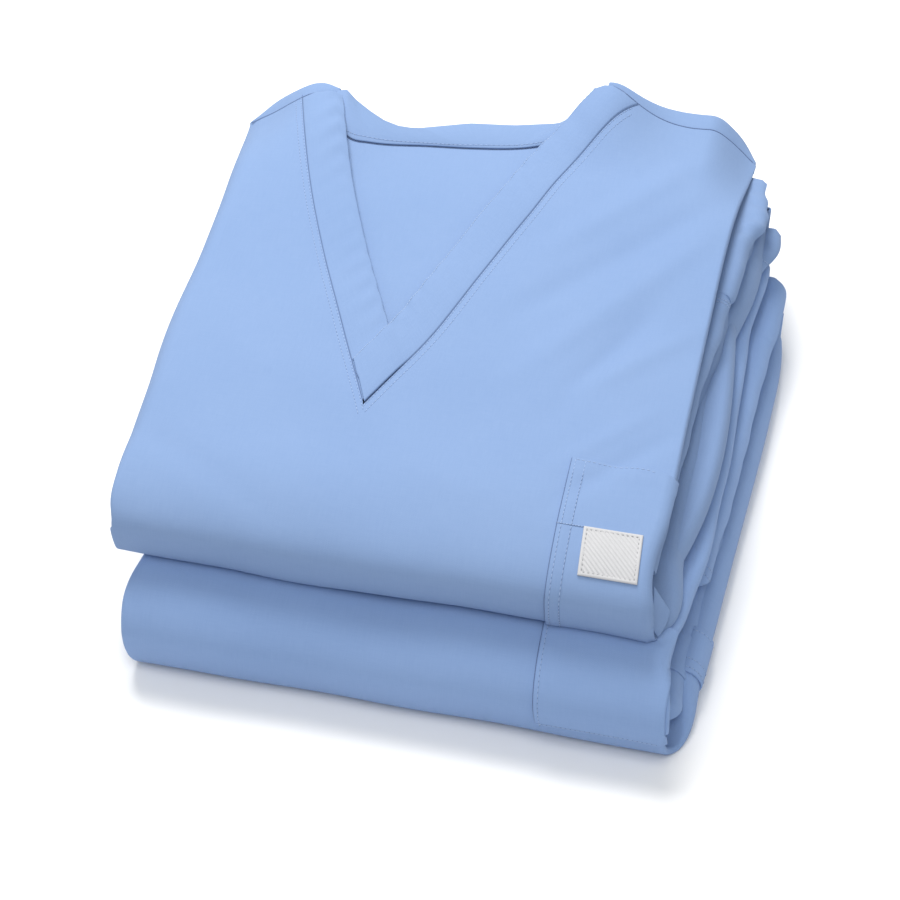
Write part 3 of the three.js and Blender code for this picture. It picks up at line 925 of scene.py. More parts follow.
# ----------------------------------------------------------------- stitching
@dataclass
class Stitching:
    """A row of sewn stitches, each a short rounded length of thread."""

    name: str
    line: Callable[[Array, float], Array]
    length: float
    finish: ThreadFinish = BLUE_THREAD
    pitch: float = 2.7 * MM
    stitch: float = 1.8 * MM
    thread: float = 0.42 * MM
    lift: float = 0.1 * MM
    # Dark sunk beads between the stitches, in the stitch_shadow finish, paint the shade in the needle holes;
    # hole gives their length, width and sink.
    holes: bool = True
    hole: tuple[float, float, float] = (0.6 * MM, 0.55 * MM, -0.14 * MM)

    @staticmethod
    def _bead() -> tuple[Array, list[tuple[int, ...]]]:
        """A short rounded bar along X, one unit long and one unit thick."""
        Bench.clear()
        bpy.ops.mesh.primitive_uv_sphere_add(segments=6, ring_count=4, radius=0.5)
        bead = bpy.context.active_object
        at = Bench.points(bead)[:, [2, 0, 1]]
        faces = [tuple(face.vertices) for face in bead.data.polygons]
        mesh = bead.data
        bpy.data.objects.remove(bead)
        bpy.data.meshes.remove(mesh)
        return at, faces

    def build(self) -> bpy.types.Object:
        """Sews the row: one bead copied along the line, each with its own vertices."""
        bead, faces = self._bead()
        count = max(1, int(self.length / self.pitch))
        places = [(np.arange(count) + 0.5) / count]
        sizes = [(self.stitch, self.thread, self.lift)]
        if self.holes:
            places.append(np.arange(count + 1) / count)
            sizes.append((*self.hole[:2], self.lift + self.hole[2]))
        points, all_faces, kinds = [], [], []
        for kind, (share, (long, wide, lift)) in enumerate(zip(places, sizes)):
            step = 0.5 * MM / self.length
            middle = self.line(share, lift)
            along = self.line(share + step, lift) - self.line(share - step, lift)
            above = self.line(share, lift + MM) - middle
            for way in (along, above):
                way /= np.maximum(np.linalg.norm(way, axis=1, keepdims=True), 1e-9)
            beside = np.cross(above, along)
            at = (
                middle[:, None, :]
                + bead[None, :, 0:1] * long * along[:, None, :]
                + bead[None, :, 1:2] * wide * beside[:, None, :]
                + bead[None, :, 2:3] * wide * 0.8 * above[:, None, :]
            )
            first = sum(len(part) for part in points)
            points.append(at.reshape(-1, 3))
            size = len(bead)
            all_faces += [tuple(v + first + i * size for v in face)
                          for i in range(len(share)) for face in faces]
            kinds += [kind] * (len(share) * len(faces))
        mesh = bpy.data.meshes.new(self.name)
        mesh.from_pydata(np.concatenate(points).tolist(), [], all_faces)
        piece = bpy.data.objects.new(self.name, mesh)
        bpy.context.scene.collection.objects.link(piece)
        Bench.take(piece)
        Bench.edit(bpy.ops.mesh.normals_make_consistent, inside=False)
        Bench.finish(piece, self.finish, angle=180.0)
        # The beads between the stitches take the dark stitch_shadow finish: painted shade in the needle
        # holes.
        if self.holes:
            mesh.materials.append(STITCH_SHADE.material())
            mesh.polygons.foreach_set("material_index", kinds)
        return piece


# ------------------------------------------------------------ both garments
# How a row of dark beads is laid that paints the shade in a seam's groove or beside a pocket's edge.
PAINTED_SHADE_ROW = dict(pitch=1.4 * MM, stitch=2.2 * MM, lift=0.0, holes=False)


class Half(Enum):
    """Which half of a folded garment a piece moves with."""

    UPPER = "upper"
    LOWER = "lower"
    BOTH = "both"


class Garment:
    """What both garments share: two halves that meet round a front fold."""

    upper_node: str
    lower_node: str
    upper_body: str
    lower_body: str
    blend_half: float

    @cached_property
    def upper(self) -> tuple:
        """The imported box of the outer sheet's upper half."""
        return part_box(self.upper_node)

    @cached_property
    def lower(self) -> tuple:
        """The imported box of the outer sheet's lower half."""
        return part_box(self.lower_node)

    @property
    def parting(self) -> float:
        """Height at which the upper half meets the lower half."""
        return (self.upper[0].z + self.lower[1].z) / 2

    def keep(self, piece: bpy.types.Object, *replaced: str, half: Half = Half.UPPER) -> None:
        """Puts a piece in place of CAD nodes, and on its half, or bakes its place where it spans both halves.
        """
        if replaced:
            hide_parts(*replaced)
        if half is Half.BOTH:
            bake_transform(piece)
        else:
            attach(piece, self.upper_body if half is Half.UPPER else self.lower_body)

    def lay(self, piece: bpy.types.Object, *replaced: str, flat: tuple[float, float], on: str,
            half: Half = Half.UPPER, area: float | None = None) -> None:
        """Keeps a piece that is a folded sheet of cloth.

        Args:
            piece: the sheet.
            replaced: the CAD nodes that it stands for.
            flat: the width and length that it was cut to; not used.
            on: the piece that it rests on; not used.
            half: the half that it moves with.
            area: its area, if that isn't width times length; not used.
        """
        self.keep(piece, *replaced, half=half)

    def sew(self, name: str, line: Callable[[Array, float], Array], length: float, *replaced: str,
            half: Half = Half.UPPER, **look: object) -> None:
        """Sews a row of stitches along a line and keeps it."""
        self.keep(Stitching(name, line, length, **look).build(), *replaced, half=half)


# ------------------------------------------------------------------ the gown
class Gown(Garment):
    """The V-neck gown, folded once across the body."""

    upper_node, lower_node = "gown_front_upper", "gown_front_lower"
    upper_body, lower_body = "gown_upper", "gown_lower"
    blend_half = 1.6 * MM
    band_width = 25 * MM
    band_length = 270 * MM
    seam_length = 265 * MM
    neck_point = (-40 * MM, -77 * MM)
    shoulder_line = SoftCurve(
        [(-176, 157.5), (-166, 161), (-150, 162.5), (-139, 163.5), (-127, 167), (-117, 168), (-60, 175),
         (20, 195), (45, 200), (67, 193.5), (97, 191), (118, 193.5), (131, 192.5), (139, 189)])
    back_seam = SoftCurve(
        [(-175, 148), (-130, 152), (-112, 145), (-100, 139), (-90, 141), (-60, 149), (-31, 154), (8, 162),
         (28, 170), (45, 178), (80, 184), (140, 184)])
    seams = {
        Span.LEFT: SoftCurve([(-110, -26), (-77, -40), (-22, -65), (38, -92), (92, -114), (143, -131.5),
                              (168, -139), (200, -147)], onward=True),
        Span.RIGHT: SoftCurve([(-110, -52), (-77, -40), (-14, -15), (41, 1), (93, 16.5), (149, 35), (172, 48),
                               (197, 67), (215, 84)], onward=True),
    }
    # Rise, radians per metre of X, Y and length, and phase of each slow wave in the cloth.
    undulation = (
        (0.55, 31, 24, 0, 0.6),
        (0.40, 17, -43, 0, 2.1),
        (0.30, 58, 36, 0, 4.0),
        (0.35, 22, 0, -88, 1.0),
        (0.22, 96, 0, 70, 2.5),
    )
    # X, Y and Z in millimetres of the back band's rolled top, from the left shoulder to the right one.
    back_band_top = (
        (-118, 171, 116.5), (-112, 173, 117), (-105, 169, 113), (-95, 164, 110), (-86, 161, 107),
        (-77, 160, 105), (-70, 161, 104), (-64, 162, 104), (-35, 173, 104), (-8, 177, 104), (18, 184, 104.5),
        (30, 190, 110), (42, 197, 120), (48, 201, 125))
    # Start and end in millimetres, width and rise of each broad fold in the front panel.
    broad_folds = (
        (102, 154, 41, 77, 9, 1.6),
        (114, 117, 37, 24, 10, -2.2),
        (117, 88, 48, -18, 9, 2.0),
        (99, 22, 67, -46, 8, -2.0),
        (123, 13, 74, -40, 7, 1.6),
        (121, -72, 87, -111, 6, -1.6),
        (107, -59, 80, -89, 5, 1.2),
        (-60, -60, -150, 60, 20, -1.2),
        (-150, 130, -110, 40, 14, 1.0),
        (-120, -40, 40, -130, 16, 1.1),
        (-150, -120, -60, -165, 10, -1.0),
    )

    # ------------------------------------------------------------ the shape
    def height(self, x: Array, y: Array) -> Array:
        """How much the upper half is stretched or squeezed in height.

        The shoulders slope down to their ends, and the neck points stand up.
        """
        depth = self.upper[1].z - self.parting
        left_neck = 10.5 * MM * bump(x, -119 * MM, 30 * MM) * smoothstep(y, 60 * MM, 178 * MM)
        right_neck = 17.5 * MM * bump(x, 46 * MM, 28 * MM) * smoothstep(y, 135 * MM, 208 * MM)
        left_end = -17 * MM * smoothstep(-x, 132 * MM, 176 * MM) * smoothstep(y, 90 * MM, 170 * MM)
        right_end = -19 * MM * smoothstep(x, 108 * MM, 143 * MM) * smoothstep(y, 105 * MM, 190 * MM)
        hollow = -4.5 * MM * bump(x, -40 * MM, 52 * MM) * smoothstep(y, 90 * MM, 190 * MM)
        sag = -1.2 * MM * bump(x, 0.0, 110 * MM) * bump(y, 20 * MM, 90 * MM)
        return 1.0 + (left_neck + right_neck + left_end + right_end + hollow + sag) / depth

    def crown(self, x: Array) -> Array:
        """Height of the upper face at the shoulder line."""
        return self.outer.on_top(x, self.shoulder_line(x))[..., 2]

    def relief(self, x: Array, y: Array, length: Array) -> Array:
        """Soft undulation of the cloth, and broad folds across the front panel."""
        calm = waves(x, y, length, self.undulation)
        folds = np.zeros(np.broadcast(x, y).shape)
        for x0, y0, x1, y1, width, rise in self.broad_folds:
            start, end = np.array([x0, y0]) * MM, np.array([x1, y1]) * MM
            reach = np.linalg.norm(end - start)
            along = (end - start) / reach
            px, py = x - start[0], y - start[1]
            t = px * along[0] + py * along[1]
            aside = px * along[1] - py * along[0]
            fade = smoothstep(t, -30 * MM, 20 * MM) * (1 - smoothstep(t, reach - 20 * MM, reach + 40 * MM))
            folds = folds + rise * bump(aside, 0.0, width * MM) * fade
        on_top = smoothstep(length, 0.0, 60 * MM)
        return (0.9 * calm + 1.1 * folds * on_top) * MM

    def path(self, inset: float = 0.0, **changes: float) -> FoldPath:
        """The side view of the outer sheet, or of one that lies inside it."""
        values = dict(
            front=self.upper[0].y + inset,
            parting=self.parting,
            top=self.upper[1].z - inset,
            bottom=self.lower[0].z + inset - 0.8 * MM,
            upper_reach=60 * MM - inset,
            lower_reach=10 * MM,
            upper_back=210 * MM,
            lower_back=163 * MM,
            lower_turn=12 * MM,
        )
        values.update(changes)
        return FoldPath(**values)

    @cached_property
    def outer(self) -> Drape:
        """The front panel, round the front fold to the underside."""
        left = SoftCurve([(-172, -154), (-165, -156), (-150, -157), (-125, -159.5), (-80, -161.5),
                          (-50, -164), (35, -164.5), (110, -168), (141, -170.5), (160, -172), (175, -173)])
        lower_left = SoftCurve([(-172, -155), (-150, -160), (-80, -161.5), (175, -166)])
        right = SoftCurve([(-172, 133), (-165, 131), (-120, 133), (-47, 133), (50, 133.5), (90, 134),
                           (138, 136), (181, 139), (195, 140)])
        lower_right = SoftCurve([(-176, 133), (-165, 137), (-158, 142), (-113, 143.5), (-55, 144), (40, 144),
                                 (60, 147), (94, 153), (175, 153)])
        return Drape(
            self.path(), left, lower_left, right, lower_right,
            SideFold(upper=10.8 * MM, lower=10.8 * MM, tip=2.6 * MM, upper_crease=-0.1, lower_crease=0.0),
            SideFold(upper=2.2 * MM, lower=10.8 * MM, tip=2.2 * MM, lower_crease=0.35),
            relief=self.relief, height=self.height,
        )

    @cached_property
    def inner(self) -> Drape:
        """The back panel, inside the front one all the way round."""
        left = SoftCurve([(-170, -150), (-80, -158), (175, -164)])
        right = SoftCurve([(-170, 124), (-70, 127), (175, 129)])
        lower_right = SoftCurve([(-170, 124), (-140, 136), (175, 138)])
        return Drape(
            self.path(inset=4.8 * MM, lower_turn=9 * MM), left, left, right, lower_right,
            SideFold(upper=7.0 * MM, lower=7.0 * MM, tip=2.0 * MM),
            SideFold(upper=2.0 * MM, lower=7.0 * MM, tip=2.0 * MM),
            relief=lambda x, y, s: 0.6 * self.relief(x, y, s), height=self.height,
        )

    # -------------------------------------------------------- the neckline
    def split(self, length: Array, side: Span) -> Array:
        """Where the front panel is cut at each length, for its left or right part."""
        y = self.outer.path.at(length)[0]
        ahead = (y < self.neck_point[1]) | (np.asarray(length) < 0)
        return np.where(ahead, self.neck_point[0], self.seams[side](y))

    def beside_seam(self, side: Span, y: Array, inwards: Array | float) -> tuple[Array, Array]:
        """X and Y of spots beside one seam of the V; inwards is towards the opening."""
        seam = self.seams[side]
        slope = (seam(y + MM) - seam(y - MM)) / (2 * MM)
        size = np.hypot(slope, 1.0)
        sign = 1.0 if side is Span.LEFT else -1.0
        return seam(y) + sign * inwards / size, y - sign * inwards * slope / size

    def band_ends(self, side: Span, inwards: float, gap: float) -> tuple[float, float]:
        """Y along the seam at which a line beside it meets the shoulder and the other seam."""
        y = np.linspace(-130 * MM, 240 * MM, 400)
        at_x, at_y = self.beside_seam(side, y, inwards)
        other = self.seams[Span.RIGHT if side is Span.LEFT else Span.LEFT](at_y)
        clear = (at_x - other) * (-1.0 if side is Span.LEFT else 1.0) - gap
        ahead = self.shoulder_line(at_x) - at_y
        foot = float(y[np.argmax(clear > 0)])
        return foot, float(y[len(y) - 1 - np.argmax((ahead > 0)[::-1])])

    def band_lift(self, side: Span, x: Array, y: Array, across: Array, off: Array | float) -> Array:
        """How far a spot of a side band stands off the front panel.

        Args:
            side: the band.
            x: X of the spot.
            y: Y of the spot.
            across: 0 at the band's seam and 1 at its inner edge.
            off: height over the band's under side.

        Returns:
            The lift, with the band's puckers and its way over the other band.
        """
        lift = off - 1.0 * MM + 0.5 * MM * np.sin(across * math.pi)
        if side is Span.RIGHT:
            over = 1.0 - smoothstep(x - self.seams[Span.LEFT](y), 22 * MM, 38 * MM)
            lift = lift + over * (1.0 + 0.6 * across) * MM
        puff = 0.6 * MM * np.sin(y * 420 + 30 * across) * (0.6 + 0.4 * np.sin(y * 47 + 1.0))
        return lift + puff * across

    def side_band(self, side: Span) -> bpy.types.Object:
        """One side of the neck band: a doubled strip, cut at the shoulder and at the other seam."""
        gap = 0.1 * MM if side is Span.RIGHT else 1.5 * MM
        offsets = np.linspace(0.0, self.band_width, 26)
        ends = np.array([self.band_ends(side, float(w), gap) for w in offsets])
        length = float(ends[0, 1] - ends[0, 0])

        def where(across: Array, along: Array, off: Array) -> Array:
            wide = across * self.band_width
            foot, top = np.interp(wide, offsets, ends[:, 0]), np.interp(wide, offsets, ends[:, 1])
            x, y = self.beside_seam(side, foot + (top - foot) * along, wide)
            return self.outer.on_top(x, y, self.band_lift(side, x, y, across, off))

        name = f"neck_band_{side.value}_cloth"
        size = (self.band_width, length)
        return Patch(name, TRIM_BLUE, where, size, thickness=1.7 * MM, pitch=2.0 * MM).build()

    def back_band(self, across: Array, along: Array, off: Array | float) -> Array:
        """A spot of the band across the back of the neck, from its seam up to its rolled top.

        Args:
            across: 0 at the seam and 1 at the top edge.
            along: 0 at the left shoulder and 1 at the right one.
            off: height over the band's under side.

        Returns:
            One row of X, Y and Z for each spot.
        """
        x_low = self._back_seam_x(along)
        low = self.inner.on_top(x_low, self.back_seam(x_low) - 0.5 * MM, 0.2 * MM)
        top = np.array(self.back_band_top).T * MM
        steps = np.linspace(0.0, 1.0, len(self.back_band_top))
        high = np.stack([np.interp(along, steps, row) for row in top], axis=-1)
        wide = across[:, None]
        bulge = 1.2 * MM * np.sin(across * math.pi) + off
        return low * (1 - wide) + high * wide + bulge[:, None] * np.array([0.0, -0.35, 0.94])

    @staticmethod
    def _back_seam_x(share: Array) -> Array:
        """X along the back neck seam, from its left end to its right end."""
        left, right = -112 * MM, 30 * MM
        return left + (right - left) * share

    def neckline(self) -> None:
        """The band round the neck: left side, right side over it, and the back."""
        for side in (Span.LEFT, Span.RIGHT):
            self.lay(self.side_band(side), f"neck_band_{side.value}",
                     flat=(2 * self.band_width, self.band_length), on="front_panel",
                     area=self.band_width * 280 * MM)
        width, length = 22 * MM, 165 * MM
        piece = Patch("neck_band_back_cloth", TRIM_BLUE, self.back_band, (width, length), thickness=1.3 * MM,
                      pitch=2.0 * MM).build()
        self.lay(piece, "neck_band_back", flat=(2 * width, length), on="back_panel", area=width * length)

    # ---------------------------------------------------------- the pieces
    def panels(self) -> None:
        """The front and the back panel, each one sheet round the fold."""
        front = ClothSheet("front_panel", self.outer, GOWN_BLUE, seam=self.split, end_line=self.shoulder_line)
        width, length = front.flat_size()
        mouth = float(self.seams[Span.RIGHT](197 * MM) - self.seams[Span.LEFT](168 * MM))
        opening = mouth * (182 * MM - self.neck_point[1]) / 2
        self.lay(front.build(), "gown_front_upper", "gown_front_lower", flat=(width, length), on="back_panel",
                 half=Half.BOTH, area=width * length - opening)
        back = ClothSheet("back_panel", self.inner, GOWN_BLUE, pitch=4.0 * MM,
                          end_line=lambda x: self.back_seam(x) + 7 * MM)
        self.lay(back.build(), "gown_back_upper", "gown_back_lower", flat=back.flat_size(), on="front_panel",
                 half=Half.BOTH)

    def shoulders(self) -> None:
        """The back panel rolled forward over each shoulder seam."""
        self._shoulder("left", -171.5 * MM, -116 * MM, SoftCurve(
            [(-172, 0.05), (-166, 0.4), (-160, 0.8), (-142, 1.0), (-127, 0.75), (-117, 0.4)]))
        self._shoulder("right", 44.5 * MM, 139 * MM, SoftCurve(
            [(45, 0.3), (60, 0.6), (78, 0.9), (100, 1.1), (118, 0.95), (131, 0.6), (139, 0.15)]))

    def _shoulder(self, side: str, x0: float, x1: float, width: SoftCurve) -> None:
        """One shoulder: a strip behind the seam that rolls down and under at the back.

        Args:
            side: left or right.
            x0: X of the strip's left end.
            x1: X of its right end.
            width: share of the full width along X.
        """
        tuck, strip, roll, ahead, under_reach = 2.0 * MM, 5.0 * MM, 9.5 * MM, 4.5 * MM, 42 * MM
        tuck_end, flat_end = 0.1, 0.3

        def where(across: Array, along: Array, off: Array) -> Array:
            x = x0 + (x1 - x0) * across
            wide = width(x) / MM
            under = np.clip(1.0 - along / tuck_end, 0.0, 1.0)
            flat = np.clip((along - tuck_end) / (flat_end - tuck_end), 0.0, 1.0)
            turn = np.clip((along - flat_end) / (1.0 - flat_end), 0.0, 1.0) * math.pi
            crown = self.crown(x) - (0.9 + 1.2 * under) * MM + 1.1 * MM * np.sin(flat * math.pi / 2)
            drop = np.maximum(crown - self.parting - 4 * MM, 4 * MM) / 2
            y = self.shoulder_line(x) + (0.6 - 2.6 * under) * MM + wide * strip * flat
            y = y + wide * roll * np.sin(turn) - 6 * MM * smoothstep(turn, math.pi / 2, math.pi)
            y = y + ahead * np.minimum(wide, 1.0) * flat
            z = crown - drop * (1 - np.cos(turn))
            off = off - 1.0 * MM
            return np.stack([x, y + np.sin(turn) * off, z + np.cos(turn) * off], axis=-1)

        size = (x1 - x0, tuck + strip + under_reach)
        piece = Patch(f"shoulder_{side}_cloth", GOWN_BLUE, where, size, pitch=1.6 * MM).build()
        self.lay(piece, f"shoulder_{side}", flat=size, on="front_panel")

    def inner_layers(self) -> None:
        """Sleeves, turned-in sides and the hem, which show at their rims."""
        low, high = self.parting + 1.0 * MM, self.upper[1].z - 6.5 * MM
        middle = self.parting + 3.0 * MM
        right = SoftCurve([(-150, 132), (-34, 135), (17, 138), (30, 140), (50, 141), (73, 144), (102, 146),
                           (123, 149), (130, 152), (153, 151), (175, 148)])
        tucked = SoftCurve([(-150, 132), (-34, 135), (17, 138), (30, 140), (50, 141), (58, 141.5),
                            (66, 141.4), (84, 143)])
        left = SoftCurve([(-150, -152), (-60, -158), (170, -163)])
        front = self.upper[0].y + 26 * MM
        level = SoftCurve([(-200, -4), (200, 4)])
        plies = (
            ("side_fold_right", level, tucked, front, 84 * MM, middle + 0.5 * MM, high - 4.5 * MM, 0.4, 0.0),
            ("side_fold_left", left, level, front, 60 * MM, low, high - 4 * MM, 2.0, 0.0),
            ("sleeve_right", level, right, 62 * MM, 181 * MM, middle, high - 4 * MM, 0.4, 1.3 * MM),
            ("sleeve_left", left, level, 60.5 * MM, 157 * MM, low, high - 4 * MM, 3.0, 0.0),
        )
        for node, edge_left, edge_right, y0, y1, z0, z1, phase, gathers in plies:
            corners = (0.0 if y0 < 0 else 1.5 * MM, 3 * MM if y1 > 100 * MM else 0.0)
            ply = InnerPly(f"{node}_cloth", GOWN_BLUE, edge_left, edge_right, y0, y1, z0, z1, phase=phase,
                           drape=self.outer, gathers=gathers, corners=corners, crease=-0.35)
            self.lay(ply.build(), node, flat=ply.flat_size(), on="back_panel")
            if node == "side_fold_right":
                self._side_seam(ply)
        flap = SoftCurve([(-60, 128), (-34, 134), (0, 138), (40, 141.5), (77, 142), (99, 144), (122, 148),
                          (175, 146)])
        ply = InnerPly("sleeve_flap_cloth", GOWN_BLUE, SoftCurve([(-200, 90), (200, 90)]), flap, -40 * MM,
                       168 * MM, self.parting - 9 * MM, self.parting + 2.6 * MM, phase=5.0, crease=-0.6)
        self.lay(ply.build(), flat=ply.flat_size(), on="sleeve_right_cloth", half=Half.LOWER)
        self._hem()

    def _hem(self) -> None:
        """The gown's hem, with a row of stitches across its visible rim."""
        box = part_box("gown_hem")
        left = SoftCurve([(-200, box[0].x / MM), (200, box[0].x / MM)])
        right = SoftCurve([(110, 152), (124, 156), (134, 160.5), (157, 161.5)])
        ply = InnerPly("gown_hem_cloth", TRIM_BLUE, left, right, 112 * MM, 157 * MM, box[0].z + 0.2 * MM,
                       box[1].z - 0.4 * MM, phase=1.5, crease=0.2, corners=(2 * MM, 3 * MM))
        self.lay(ply.build(), "gown_hem", flat=ply.flat_size(), on="back_panel", half=Half.LOWER)

        def row(share: Array, off: float) -> Array:
            return ply.spot(np.full(share.shape, 126 * MM), 0.05 + 0.5 * share, 1.0, off)

        self.sew("gown_hem_stitches", row, 16 * MM, half=Half.LOWER, pitch=2.4 * MM)

    def corner_tuck(self) -> None:
        """The small flap of cloth tucked in at the right end of the front fold."""
        top, side, foot, near = (np.array(p) * MM for p in (
            (131.5, -155, 90), (141.5, -159, 77), (137, -166, 63), (132, -169, 76)))

        def where(across: Array, along: Array, off: Array) -> Array:
            u, v = across[:, None], along[:, None]
            flat = foot * (1 - u) * (1 - v) + side * u * (1 - v) + near * (1 - u) * v + top * u * v
            bulge = off + 1.2 * MM * np.sin(across * math.pi)
            return flat + bulge[:, None] * np.array([0.75, -0.6, 0.25])

        size = (15.5 * MM, 15.5 * MM)
        piece = Patch("corner_tuck_cloth", GOWN_BLUE, where, size, thickness=1.0 * MM, pitch=1.2 * MM).build()
        self.lay(piece, flat=size, on="front_panel", half=Half.LOWER)

    def _side_seam(self, ply: InnerPly) -> None:
        """A short stitched seam across the right side fold."""
        for name, y in (("a", 56 * MM), ("b", 58.5 * MM)):
            def row(share: Array, off: float, y: float = y) -> Array:
                at = ply.spot(y + 2 * MM * share, 0.02 + 0.5 * share, 1.0, off)
                return self.outer.settle(at[:, 0], at[:, 1], at[:, 2])

            self.sew(f"side_seam_stitches_{name}", row, 12 * MM, pitch=2.2 * MM)

    # ---------------------------------------------------------- the pocket
    def pocket(self) -> None:
        """Patch pocket, its placket, the bar tack and the blank label."""
        mouth = float(self.outer.path.length_at(np.array(-94 * MM)))
        foot = -25 * MM
        left, right = 77.5 * MM, 134.5 * MM
        tall, width = mouth - foot, 10.2 * MM

        def edge(along: Array) -> Array:
            return left + 2.0 * MM * (1 - along) ** 2

        def cloth(across: Array, along: Array, off: Array) -> Array:
            length = foot + tall * along - 3.5 * MM * smoothstep(across, 0.75, 1.0) * along
            near = edge(along)
            x = near + (self.outer.edges(length)[1] + 1.5 * MM - near) * across
            return self.outer.place(x, length, off + (0.1 + 0.35 * (along > 0.9) * (off > 0.5 * MM)) * MM)

        size = (right - left, tall)
        self.lay(Patch("pocket_cloth", GOWN_BLUE, cloth, size, thickness=1.5 * MM).build(), "pocket_upper",
                 "pocket_lower", flat=size, on="front_panel", half=Half.BOTH)

        def placket(across: Array, along: Array, off: Array) -> Array:
            x = edge(along) + 0.2 * MM + width * across
            thinned = off * (1 - 0.6 * smoothstep(across, 0.8, 1.0))
            return self.outer.place(x, foot + tall * along, thinned + 1.2 * MM)

        piece = Patch("pocket_placket_cloth", TRIM_BLUE, placket, (width, tall), thickness=0.6 * MM,
                      pitch=1.2 * MM).build()
        self.lay(piece, "pocket_placket_upper", "pocket_placket_lower", flat=(width, tall), on="pocket_cloth",
                 half=Half.BOTH)
        for name, offset in (("outer", 2.3 * MM), ("inner", 7.6 * MM)):
            def row(share: Array, off: float, offset: float = offset) -> Array:
                length = foot + 4 * MM + (tall - 5 * MM) * share
                return self.outer.place(edge((length - foot) / tall) + offset, length, off + 1.85 * MM)

            self.sew(f"placket_stitches_{name}", row, tall - 5 * MM, half=Half.BOTH)

        # A dark row beside the pocket's left edge: painted shade along the edge.
        def left_edge(share: Array, off: float) -> Array:
            return self.outer.place(edge(share) - 0.3 * MM, foot + tall * share, off + 0.2 * MM)

        self.sew("pocket_edge_shade", left_edge, tall, half=Half.BOTH, finish=STITCH_SHADE, thread=0.45 * MM,
                 **PAINTED_SHADE_ROW)

        def mouth_row(share: Array, off: float) -> Array:
            x = left + 2 * MM + (right - left - 14 * MM) * share
            return self.outer.place(x, mouth - 1.6 * MM - 3.5 * MM * smoothstep(share, 0.85, 1.2),
                                    off + 1.95 * MM)

        self.sew("pocket_mouth_stitches", mouth_row, right - left - 14 * MM, holes=False)
        self._label(left)

    def _label(self, left: float) -> None:
        """The blank label, a small white ribbed patch with a raised rim, and the bar tack."""
        path = self.outer.path
        back, front = (float(path.length_at(np.array(v * MM))) for v in (-138, -163.5))
        x0, width = left + 14.3 * MM, 31 * MM
        height = back - front

        def label(across: Array, along: Array, off: Array) -> Array:
            x = x0 + width * across + (1 - along) * 1.6 * MM
            near = np.minimum(np.minimum(across, 1 - across) * width, np.minimum(along, 1 - along) * height)
            inside = smoothstep(near, 1.3 * MM, 1.9 * MM)
            slant = across * width * 0.72 + along * height * 0.69
            ribs = 0.5 + 0.5 * np.sin(slant * 2 * math.pi / (1.9 * MM))
            lowered = inside * (0.5 - 0.45 * ribs) * MM
            return self.outer.place(x, front + height * along, off + 1.4 * MM - lowered * (off > 0.6 * MM))

        size = (width, height)
        self.lay(Patch("woven_label", LABEL_WHITE, label, size, thickness=1.5 * MM, pitch=0.3 * MM).build(),
                 "blank_label", flat=size, on="pocket_cloth")

        def tack(share: Array, off: float) -> Array:
            length = np.full(share.shape, back - 0.3 * MM)
            return self.outer.place(left + share * 14 * MM, length, off + 1.95 * MM)

        self.sew("bar_tack_thread", tack, 13.5 * MM, "pocket_bar_tack", pitch=1.5 * MM, stitch=1.3 * MM,
                 thread=0.5 * MM)

        def rim(share: Array, off: float) -> Array:
            inset = 1.9 * MM
            wide, tall = width - 2 * inset, height - 2 * inset
            corners = np.cumsum([0.0, wide, tall, wide, tall])
            run = (share % 1.0) * corners[-1]
            xs = np.interp(run, corners, [0.0, wide, wide, 0.0, 0.0])
            ys = inset + np.interp(run, corners, [0.0, 0.0, tall, tall, 0.0])
            x = x0 + inset + xs + (1 - ys / height) * 1.6 * MM
            return self.outer.place(x, front + ys, off + 2.55 * MM)

        self.sew("label_thread", rim, 2 * (width + height) - 15 * MM, finish=GREY_THREAD, pitch=2.4 * MM,
                 stitch=1.3 * MM, thread=0.4 * MM, holes=False)

    # -------------------------------------------------------- the stitching
    def stitching(self) -> None:
        """Topstitching along the neckline, and dark rows of painted shade in the seams of the neckline and
        the shoulders.
        """
        for side in (Span.LEFT, Span.RIGHT):
            self._seam_rows(side)
        inwards = self.band_width - 0.7 * MM
        start, end = self.band_ends(Span.RIGHT, inwards, 0.5 * MM)

        def edge(share: Array, off: float) -> Array:
            x, y = self.beside_seam(Span.RIGHT, start + (end - start) * share, inwards)
            across = np.full(share.shape, inwards / self.band_width)
            return self.outer.on_top(x, y, self.band_lift(Span.RIGHT, x, y, across, off + 1.75 * MM))

        self.sew("neck_edge_stitches", edge, end - start, pitch=2.2 * MM, stitch=2.1 * MM, thread=0.45 * MM,
                 lift=0.0, holes=False)

        for side, x0, x1 in (("left", -170 * MM, -118 * MM), ("right", 46 * MM, 137 * MM)):
            def shoulder(share: Array, off: float, x0: float = x0, x1: float = x1) -> Array:
                x = x0 + (x1 - x0) * share
                y, z = self.shoulder_line(x) + 0.4 * MM, self.crown(x) + 0.1 * MM + off
                return np.stack([x, y, z], axis=-1)

            # A dark row along each shoulder seam: painted shade in the seam's groove.
            self.sew(f"shoulder_seam_shade_{side}", shoulder, x1 - x0, finish=SEAM_SHADE, thread=0.8 * MM, **PAINTED_SHADE_ROW)

        def back_row(share: Array, off: float) -> Array:
            return self.back_band(np.full(share.shape, 0.1), 0.05 + 0.9 * share, 1.35 * MM + off)

        self.sew("back_neck_stitches", back_row, 130 * MM)

        # A dark row just below the back band's lower edge: painted shade in the back neck seam.
        def back_groove(share: Array, off: float) -> Array:
            x = self._back_seam_x(share)
            return self.inner.on_top(x, self.back_seam(x) - 0.9 * MM, off + 0.15 * MM)

        self.sew("back_neck_seam", back_groove, 142 * MM, finish=SEAM_SHADE, thread=0.7 * MM, **PAINTED_SHADE_ROW)

